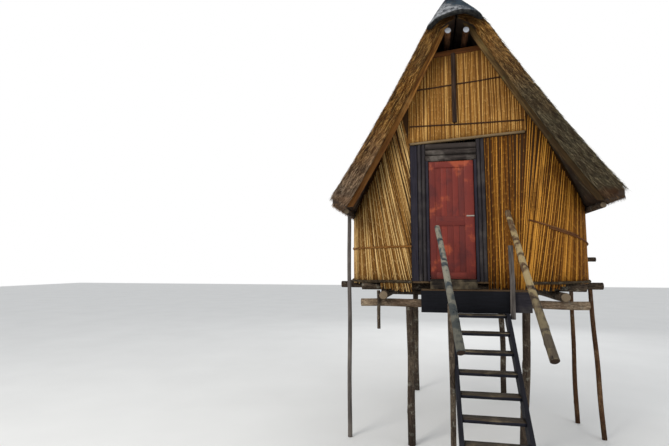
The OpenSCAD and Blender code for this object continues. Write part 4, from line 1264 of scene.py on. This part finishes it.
low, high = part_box("floor_boards")
FLOOR_DEEP, FLOOR_CORNER = high.y - low.y, high.x - FLAT_HALF
floor_parts = plank_row("floor_boards", 1, 0.14, 64, gap=0.0025)
for points, *_ in floor_parts:
    inward = np.clip(np.abs(points[:, 0]) - FLAT_HALF, 0, FLOOR_CORNER)
    edge = FLOOR_CORNER - np.sqrt(FLOOR_CORNER ** 2 - inward ** 2)
    share = (points[:, 1] - low.y) / FLOOR_DEEP
    points[:, 1] = low.y + edge + share * (FLOOR_DEEP - 2 * edge)
joined_piece("floor_planks", floor_parts, [floor_brown], "brown_board", ["floor_boards"])

# %% [markdown]
# ## Sawn timbers with worn edges
# The stair sides, door frame, step, rafters and barge boards have their true shape in the solid
# model, but a sawn edge is never knife-sharp. The mesh of each is copied, its edges are bevelled,
# and it is cut across its length so that it can warp by a millimetre. The noise that warps it is
# seeded first, because Blender starts it from the clock otherwise. The bevel also lists its points
# in another order on each run, so they are sorted by place before the timbers get their tones.

# %% Bevelled copies of the sawn timbers
FLAT, SHARP = math.radians(1.0), math.radians(40)


def part_numbers(faces):
    """Numbers the separate timbers of a mesh, so that each can have its own tone."""
    number, count = {}, 0
    for first in faces:
        if first in number:
            continue
        number[first], waiting = count, [first]
        while waiting:
            for edge in waiting.pop().edges:
                for face in edge.link_faces:
                    if face not in number:
                        number[face] = count
                        waiting.append(face)
        count += 1
    return number, count


def worn_timber(name, node, slot, finish, along, seed, edge=0.004, warp=0.0012, step=0.12):
    """A bevelled and slightly warped copy of a node of the solid model, which it stands for."""
    shape = bmesh.new()
    shape.from_mesh(nodes[node].data)
    shape.transform(nodes[node].matrix_world)
    bmesh.ops.remove_doubles(shape, verts=shape.verts, dist=1e-5)
    bmesh.ops.dissolve_limit(shape, angle_limit=FLAT, verts=shape.verts, edges=shape.edges)
    sharp = [e for e in shape.edges if len(e.link_faces) == 2 and e.calc_face_angle() > SHARP]
    bmesh.ops.bevel(shape, geom=sharp, offset=edge, segments=2, profile=0.5, affect="EDGES",
                    clamp_overlap=True)
    along = Vector(along).normalized()
    far = [v.co.dot(along) for v in shape.verts]
    for place in np.arange(min(far) + step, max(far) - 0.02, step):
        everything = shape.verts[:] + shape.edges[:] + shape.faces[:]
        bmesh.ops.bisect_plane(shape, geom=everything, plane_co=along * float(place),
                               plane_no=along)
    field.seed_set(seed)
    for v in shape.verts:
        wide, fine = field.noise_vector(v.co * 2.3), field.noise_vector(v.co * 14.0)
        v.co += wide * warp + fine * (warp * 0.35)
        v.co.z = max(v.co.z, 0.0)
    by_place = sorted(shape.verts, key=lambda v: v.co[:])
    for k, v in enumerate(by_place):
        v.index = k
    faces = sorted(shape.faces, key=lambda face: sorted(v.index for v in face.verts))
    number, count = part_numbers(faces)
    timber_tones = np.random.default_rng(seed).random(count)
    groups, tones = {}, {}
    for face in faces:
        corners = [v.index for v in face.verts]
        lowest = corners.index(min(corners))
        groups.setdefault(len(corners), []).append(corners[lowest:] + corners[:lowest])
        tones.setdefault(len(corners), []).append(timber_tones[number[face]])
    points = np.array([v.co[:] for v in by_place])
    shape.free()
    keys = sorted(groups)
    return new_piece(name, points, [np.array(groups[k]) for k in keys], [finish], slot, [node],
                     tones=np.concatenate([tones[k] for k in keys]), smooth=False)


frame_dark = wood_finish("door_frame_dark", "33303a 17151c 5c565a", ALONG_Z, 1.0, 0.75, 0.3,
                         tones=0.2)
step_wood = wood_finish("step_wood", "3d352e 191716 94856a", ALONG_X, 1.0, 0.8, 0.6)
stair_side = wood_finish("stair_side", "24242b 101015 48454a", UP_THE_STAIR, 1.0, 0.75, 0.3,
                         tones=0.3)
worn_timber("door_frame_sides", "door_jambs", "dark_frame", frame_dark, ALONG_Z, 401)
worn_timber("door_frame_foot", "door_sill", "dark_frame", step_wood, ALONG_X, 402)
worn_timber("worn_door_step", "door_step", "pale_pole", step_wood, ALONG_X, 403, 0.007)
# The near-black finish of the side board beside the door is painted shade.
worn_timber("dark_side_board", "front_left_wall", "dark_frame", frame_dark, ALONG_Z, 404)
for seed, name in ((405, "left"), (406, "right")):
    worn_timber(name + "_stair_side", name + "_stringer", "dark_timber", stair_side, UP_THE_STAIR,
                seed, 0.006)

# %% [markdown]
# The boards under the roof edge follow the slopes. The left one is still yellow at the top; both go
# dark towards the eave, which is painted shade, and moss grows on the right one and on the rafters.

# %% Boards and poles under the roof edge
# foot darkens the low end of both barge boards: painted shade.
barge_slot_and_finish = {
    LEFT: ("yellow_board", wood_finish("left_barge", "a97437 5a3618 d3a565", UP_THE_ROOF[LEFT],
                                       0.9, 0.75, 0.4, foot=(5.9, 4.7, 0.75))),
    RIGHT: ("bark_pole", wood_finish("right_barge", "6b5331 332617 8e7648", UP_THE_ROOF[RIGHT],
                                     0.9, 0.8, 0.4, 0.35, foot=(5.9, 4.6, 0.7)))}
for seed, side in ((407, LEFT), (408, RIGHT)):
    worn_timber(SIDE_NAME[side] + "_roof_edge_board", SIDE_NAME[side] + "_barge_board",
                *barge_slot_and_finish[side], UP_THE_ROOF[side], seed)
for seed, side in ((409, LEFT), (410, RIGHT)):
    rafter_wood = wood_finish(SIDE_NAME[side] + "_rafter_wood", "5c5038 302919 7c7152",
                              UP_THE_ROOF[side], 0.9, 0.85, 0.4, 0.6, tones=0.2)
    worn_timber(SIDE_NAME[side] + "_roof_poles", SIDE_NAME[side] + "_rafters", "bark_pole",
                rafter_wood, UP_THE_ROOF[side], seed, 0.010)

# %% [markdown]
# ## Gable
# Over the door the reeds stand upright on a pale sloping rail and end under a brown board. Two
# sticks and an upright pole hold them. Small gaps are left so that the dark behind them shows.

# %% Gable reeds and boards
RAIL_Z, RAIL_THICK = 2.285, 0.035
GABLE_BOARD_LOW, GABLE_BOARD_RISE, GABLE_BOARD_MIDDLE = 3.745, 0.09, 0.044
GABLE_EDGE = 0.004
pick = np.random.default_rng(71)
reed_x = np.arange(-FLAT_HALF + GABLE_EDGE, FLAT_HALF - GABLE_EDGE, REED_STEP)
reed_x = reed_x + pick.normal(0, 0.0013, len(reed_x))
gable_low = RAIL_Z + RAIL_THICK + RAIL_RISE * (reed_x - RIDGE_X) + 0.001
board_low = GABLE_BOARD_LOW + GABLE_BOARD_RISE * (reed_x - RIDGE_X)
board_low = board_low + pick.uniform(-0.012, 0.0, len(reed_x))
gable_high = np.minimum(under_thatch(reed_x) + 0.012, board_low)
lean, out = pick.normal(0, 0.006, len(reed_x)), pick.uniform(-0.001, 0.005, len(reed_x))
gable_rods = reed_rods(reed_x - FLAT_HALF, lean, gable_low, gable_high, RIGHT, FRONT, out,
                       pick.uniform(0.0092, 0.0108, len(reed_x)), pick, 7, 6)
joined_piece("gable_reeds", gable_rods, [gable_reed], "reed")

gable_brown = wood_finish("gable_brown", "6f421e 3c2210 966636", ALONG_X, 0.9, 0.75, 0.4, tones=0.2)
pale_ledge = wood_finish("pale_ledge", "927b5a 554433 c4ab82", ALONG_X, 1.0, 0.8, 0.5, tones=0.2)
low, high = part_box("gable_board")
board_ends = [(x, FRONT_Y + 0.02,
               GABLE_BOARD_LOW + GABLE_BOARD_MIDDLE + GABLE_BOARD_RISE * (x - RIDGE_X) + FLOOR_Z)
              for x in (low.x, high.x)]
joined_piece("gable_brown_board", plank_parts(*board_ends, 0.052, 0.088, 72, bow=0.001),
             [gable_brown], "brown_board", ["gable_board"])
low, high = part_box("gable_rail")
rail_ends = [(x, (low.y + high.y) / 2,
              RAIL_Z + RAIL_THICK / 2 + RAIL_RISE * (x - RIDGE_X) + FLOOR_Z)
             for x in (low.x, high.x)]
ledge_parts = plank_parts(*rail_ends, high.y - low.y, 0.034, 73, rounding=0.006, bow=0.001)
joined_piece("gable_ledge", ledge_parts, [pale_ledge], "pale_pole", ["gable_rail"])

# %% [markdown]
# ## Stair
# The treads and sides are nearly black. Feet have worn the front edge of every tread round and
# pale, so that edge gets a wide rounding and its own lighter finish, broken up by noise. The middle
# of a tread is worn a few millimetres lower than its ends.

# %% Treads
NOSE_STEPS, TREAD_STATIONS = 7, 26
NOSE_DEEP, NOSE_HIGH, HEEL = 0.020, 0.016, 0.004


def tread_outline(deep, thick):
    """Outline of a tread: x towards the climber's foot, worn round at the front."""
    found = [(deep / 2, -thick / 2), (deep / 2, thick / 2)]
    for step in range(NOSE_STEPS):
        turn = math.radians(90 + step * 15)
        found.append((-deep / 2 + NOSE_DEEP + NOSE_DEEP * math.cos(turn),
                      thick / 2 - NOSE_HIGH + NOSE_HIGH * math.sin(turn)))
    return np.array(found + [(-deep / 2, -thick / 2 + HEEL), (-deep / 2 + HEEL, -thick / 2)])


tread_parts = []
s = np.linspace(0, 1, TREAD_STATIONS)
for k, solid in enumerate(solids_of("stair_treads")):
    low, high = solid.min(0), solid.max(0)
    level = [np.full(TREAD_STATIONS, (low[axis] + high[axis]) / 2) for axis in (1, 2)]
    line = np.stack([low[0] + s * (high[0] - low[0]), *level], axis=-1)
    outline = tread_outline(high[1] - low[1], high[2] - low[2])
    trodden = np.sin(np.pi * np.clip((s - 0.15) / 0.7, 0, 1)) ** 2
    dip = 0.006 * trodden + 0.0015 * ripple(s, 900 + k, 4, 1, 5)
    outlines = np.repeat(outline[None], TREAD_STATIONS, axis=0)
    outlines[:, (outline[:, 0] < 0) & (outline[:, 1] > 0), 1] -= dip[:, None]
    outlines[..., 0] += 0.0015 * ripple(s, 950 + k, 4, 1, 5)[:, None]
    points, quads, ends = swept(line[None], outlines[None], np.array([ALONG_Z]))
    corner = np.arange(len(quads)) % len(outline)
    worn_front = np.where((corner >= 1) & (corner <= 5), 1, 0)
    tone = np.random.default_rng(800 + k).random()
    tread_parts += rod_parts(points, quads, ends, tone, worn_front)
tread_wood = wood_finish("tread_wood", "22232c 0f1016 3f3d40", ALONG_X, 1.0, 0.7, 0.4, tones=0.3)
worn_nosing = wood_finish("worn_nosing", "53483b 231f1e b3a282", ALONG_X, 1.0, 0.7, 0.85, tones=0.2)
joined_piece("worn_treads", tread_parts, [tread_wood, worn_nosing], "dark_timber", ["stair_treads"])

# %% [markdown]
# ## Door
# The door hangs on the inside and is painted red. Five upright planks lie behind a frame of two
# stiles and three rails. Every board here has rounded edges, so the joints catch light and shade.
# The red has faded to orange in patches and gone dark with dirt along the joints and the bottom.

# %% Red paint
SPLASHED = (2.98, 2.72)


def worn_red(name, along):
    """Old paint: faded patches, dirt in the brush marks, splashes low down, chips to the wood."""
    material, shader, point = finish_of(name, 0.6, shine=0.3)
    dark, red = paints("561a15 7a2a1e")
    faded, dirt, soot, mud, bare = paints("b2542f 451416 391012 2f1a13 6f5138")
    brush = point.grain(along, 30.0, 2.2).noise(2.0, 5.0, 0.6)
    cloud = point.noise(3.4, 4.0, 0.62)
    tone = part_tone(point, 0.35) + 0.5
    splash = (point.axis(2) + cloud * 0.35).between(*SPLASHED)
    chips = point.grain(along, 16.0, 1.2).noise(5.0, 7.0, 0.75).between(0.69, 0.73)
    colour = tone.clamp().mix(dark, red)
    for mask, over in ((cloud.between(0.54, 0.70) * 0.6, faded),
                       (cloud.between(0.48, 0.34) * 0.6, dirt),
                       (brush.between(0.55, 0.75) * 0.45, soot),
                       (splash * 0.65, mud), (chips * 0.8, bare)):
        colour = mask.mix(colour, over)
    connect(shader, Base_Color=colour, Roughness=(brush * 0.3 + 0.42).clamp(),
            Normal=bump(brush * 0.5 - chips * 0.6, 0.5, 0.003))
    return material


red_upright, red_level = worn_red("red_upright", ALONG_Z), worn_red("red_level", ALONG_X)
print("red paint ready")

# %% [markdown]
# The sizes of the leaf's boards are in metres. The frame lies flat on the planks, and its joints
# are a little open.

# %% The door leaf
FRAME_THICK, HINGE_STILE, LOCK_STILE, TOP_RAIL = 0.012, 0.100, 0.150, 0.105
MIDDLE_RAIL_Z, MIDDLE_RAIL = FLOOR_Z + 0.890, 0.155
PLANKS, JOINT, LEAF_ROUND, LEAF_STATIONS = 5, 0.0012, 0.0026, 10


def leaf_board(left, right, bottom, top, y, deep, seed, level=False):
    """A board of the leaf, upright or level; the level ones have the second finish."""
    across, up = (left + right) / 2, (bottom + top) / 2
    if level:
        start, end, wide, upward = (left, y, up), (right, y, up), top - bottom, ALONG_Z
    else:
        start, end, wide, upward = (across, y, bottom), (across, y, top), right - left, ALONG_X
    return plank_parts(start, end, deep, wide - JOINT, seed, upward, LEAF_ROUND, 0.0, LEAF_STATIONS,
                       int(level))


low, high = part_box("door_leaf")
field_left, field_right = low.x + HINGE_STILE, high.x - LOCK_STILE
plank_y, plank_deep = (low.y + FRAME_THICK + high.y) / 2, high.y - low.y - FRAME_THICK - 0.001
frame_y, frame_deep = low.y + FRAME_THICK / 2 + 0.0004, FRAME_THICK - 0.0004
edges = [field_left + (field_right - field_left) * k / PLANKS for k in range(1, PLANKS)]
edges = [low.x + 0.002, *edges, high.x - 0.002]
leaf_parts = []
for k in range(PLANKS):
    leaf_parts += leaf_board(edges[k] + 0.0001, edges[k + 1] - 0.0001, low.z + 0.001,
                             high.z - 0.001, plank_y, plank_deep, 81 + k)
for seed, left, right in ((91, low.x, field_left), (92, field_right, high.x)):
    leaf_parts += leaf_board(left, right, low.z, high.z, frame_y, frame_deep, seed)
for seed, bottom, top in ((93, low.z, low.z + TOP_RAIL),
                          (94, MIDDLE_RAIL_Z, MIDDLE_RAIL_Z + MIDDLE_RAIL),
                          (95, high.z - TOP_RAIL, high.z)):
    leaf_parts += leaf_board(field_left, field_right, bottom, top, frame_y, frame_deep - 0.0003,
                             seed, level=True)
joined_piece("red_door_leaf", leaf_parts, [red_upright, red_level], "red_door", ["door_leaf"],
             body="door")

# %% [markdown]
# ## What stays as it is
# The hinges and the latch of the solid model have the right shape already, so they only need a
# finish. The plain walls stay too, as the dark that shows between the reeds in front of them.

# %% Steel, and finishes for the solids that stay


def steel_finish(name, code, rust_share):
    """Old steel; rust_share says how much of it has rusted."""
    material, shader, point = finish_of(name, 0.45, 0.8, 0.5)
    rust = point.noise(60.0, 5.0, 0.7).between(0.62 - 0.2 * rust_share, 0.74)
    cloud = point.noise(12.0, 3.0, 0.6)
    colour = (rust * rust_share).mix(linear(code), linear("6e3d22"))
    connect(shader, Base_Color=colour, Metallic=(1 - rust * rust_share).clamp() * 0.85,
            Roughness=(cloud * 0.35 + 0.25 + rust * 0.3).clamp(),
            Normal=bump(rust * 0.4 + cloud * 0.3, 0.4, 0.002))
    return material


hinge_steel = steel_finish("hinge_steel", "6a6460", 0.8)
kept_as = {"door_latch": steel_finish("bright_steel", "98938a", 0.3), "door_straps": hinge_steel,
           "door_hinge_pins": hinge_steel, "front_gable": gable_shadow}
for back in ("front_right_wall", "front_left_corner", "front_right_corner", "left_wall",
             "right_wall", "back_left_corner", "back_right_corner", "back_wall", "back_gable"):
    kept_as[back] = reed_shadow
for name, finish in kept_as.items():
    for place in nodes[name].material_slots:
        place.material = finish
floor_paint, floor_shader, floor_point = finish_of("pale_floor_paint", 0.9)
connect(floor_shader, Base_Color=floor_point.noise(0.6, 3.0, 0.5).mix(*paints("e4e4e2 efefed")))
floor.data.materials.append(floor_paint)
print("finished solids:", len(kept_as))

# %% [markdown]
# ## Ridge cap
# A hood of cement was trowelled over the top of the thatch, with a half cone at each end. It is
# lumpy and pitted, and hangs a little lower on the left. Its section is a row of points from the
# peak over the rim and back underneath; each of them becomes a loop with straight sides and round
# ends. Moving the points by noise gives the trowel marks.

# %% The shape of the cement hood
CAP_RADIUS, CAP_OVER, CAP_RIM_DROP, CAP_RIM = 0.447, 0.285, 0.275, 0.045
CAP_TILT, CAP_OFF, CAP_FRONT = 6.2, 0.030, 0.243
CAP_TOP_RADIUS, CAP_INSIDE, CAP_SWELL = 0.001, 0.060, 0.010
CONE_ROWS, UNDER_ROWS, ROUND_STEPS, SIDE_STEPS = 14, 6, 48, 60


def cap_loop(radius, height, y_front, y_back):
    """A stadium-shaped loop of points: straight sides and a half circle at each end."""
    found = []
    for start, from_y, to_y, x in ((math.pi, y_front, y_back, radius),
                                   (0.0, y_back, y_front, -radius)):
        for step in range(ROUND_STEPS):
            turn = start + math.pi * step / (ROUND_STEPS - 1)
            found.append((radius * math.cos(turn), from_y + radius * math.sin(turn), height))
        for step in range(1, SIDE_STEPS):
            found.append((x, from_y + (to_y - from_y) * step / SIDE_STEPS, height))
    return found


peak, rim = RIDGE_Z + CAP_OVER, RIDGE_Z - CAP_RIM_DROP
rim_low = rim - CAP_RIM
profile = [(CAP_TOP_RADIUS, peak)]
for share in (step / CONE_ROWS for step in range(1, CONE_ROWS + 1)):
    swell = CAP_SWELL * math.sin(math.pi * share)
    profile.append((CAP_RADIUS * share, peak + (rim - peak) * share + swell))
profile += [(CAP_RADIUS + 0.004, rim - 0.010), (CAP_RADIUS + 0.002, rim_low + 0.006),
            (CAP_RADIUS - 0.008, rim_low), (CAP_RADIUS - CAP_INSIDE, rim_low + 0.002)]
for share in (step / UNDER_ROWS for step in range(1, UNDER_ROWS + 1)):
    profile.append(((CAP_RADIUS - CAP_INSIDE) * (1 - share) + CAP_TOP_RADIUS * share,
                    rim_low * (1 - share) + (RIDGE_Z - 0.012) * share))
cap_ends = FRONT_Y - CAP_FRONT, FRONT_Y + HOUSE_DEEP + CAP_FRONT
cap_points = np.array([cap_loop(radius, height, *cap_ends) for radius, height in profile])
rows, cols = cap_points.shape[:2]
cap_points = cap_points.reshape(-1, 3)
index = np.arange(rows * cols).reshape(rows, cols)
after, below = np.roll(index, -1, axis=1), np.roll(index, -1, axis=0)
cap_quads = np.stack([index, below, np.roll(below, -1, axis=1), after], axis=-1).reshape(-1, 4)
print("the hood's section has", rows, "points")

# %% [markdown]
# Three sizes of noise make the lumps. Then the hood is tilted and moved on to the ridge.

# %% Lumps and tilt
OUTER_ROWS = 18
LUMPS = ((5.0, (0, 0, 0), 0.010), (16.0, (3, 1, 2), 0.006), (45.0, (0, 0, 0), 0.002))
lumps = np.array([sum(field.noise(Vector(p) * scale + Vector(shift)) * size
                      for scale, shift, size in LUMPS) for p in cap_points])
outer = np.repeat(np.arange(rows) < OUTER_ROWS, cols)
cap_points[:, 2] += np.where(outer, lumps, lumps * 0.3)
at_side = outer & (np.abs(cap_points[:, 0]) > 0.3)
cap_points[:, 0] += np.sign(cap_points[:, 0]) * np.where(at_side, lumps, 0.0)
tilt = Matrix.Rotation(math.radians(-CAP_TILT), 3, "Y")
centre = np.array([0.0, 0.0, rim])
cap_points = (cap_points - centre) @ np.array(tilt).T + centre
cap_points += (RIDGE_X - CAP_OFF, 0.0, FLOOR_Z)
print("lumps up to", round(float(np.abs(lumps).max()) * 1000, 1), "mm")

# %% [markdown]
# A blue-green film covers the cement above; on the left and towards the rim it is worn to pale,
# pitted cement. The thin rim and the underside are nearly black: painted shade.

# %% Cement finishes and the hood
BARE_CEMENT = (7.21, 7.07)
RIM_ROW = 15


def cement_finish(name):
    """Film, worn cement, pits and lichen."""
    material, shader, point = finish_of(name, 0.92, shine=0.2)
    lump, crust = point.noise(7.0, 6.0, 0.7), point.noise(15.0, 7.0, 0.78)
    pits = point.cells(38.0).between(0.34, 0.14)
    low_left = point.axis(2) + point.axis(0) * 0.45 + lump * 0.50 + crust * 0.14
    bare = low_left.between(*BARE_CEMENT)
    film = lump.between(0.38, 0.62).mix(*paints("131b23 2a3945"))
    cement = crust.between(0.40, 0.60).mix(*paints("2a2d33 a3a5a8"))
    colour = (bare * 0.92).mix(film, cement)
    colour = (pits * 0.7 * (bare * 0.7 + 0.3)).mix(colour, linear("1e2022"))
    colour = (crust.between(0.58, 0.66) * 0.35).mix(colour, linear("858f93"))
    connect(shader, Base_Color=colour, Normal=bump(lump + crust * 0.5 - pits * 0.6, 0.8, 0.02))
    return material


def rim_shade_cement_finish(name):
    """Nearly black cement on the rim and the underside: painted shade."""
    material, shader, point = finish_of(name, 0.95, shine=0.1)
    lump = point.noise(20.0, 5.0, 0.7)
    connect(shader, Base_Color=lump.between(0.35, 0.65).mix(*paints("17191b 3a3a38")),
            Normal=bump(lump, 0.6, 0.01))
    return material


new_piece("cement_hood", cap_points, [cap_quads],
          [cement_finish("pitted_cement"), rim_shade_cement_finish("painted_rim_shade")], "cement",
          ["ridge_cap"], finish_index=(np.repeat(np.arange(rows), cols) >= RIM_ROW).astype(int))

# %% [markdown]
# ## Pieces made
# The number of pieces made is printed.

# %% Count of pieces
print("pieces made:", len(made_pieces))
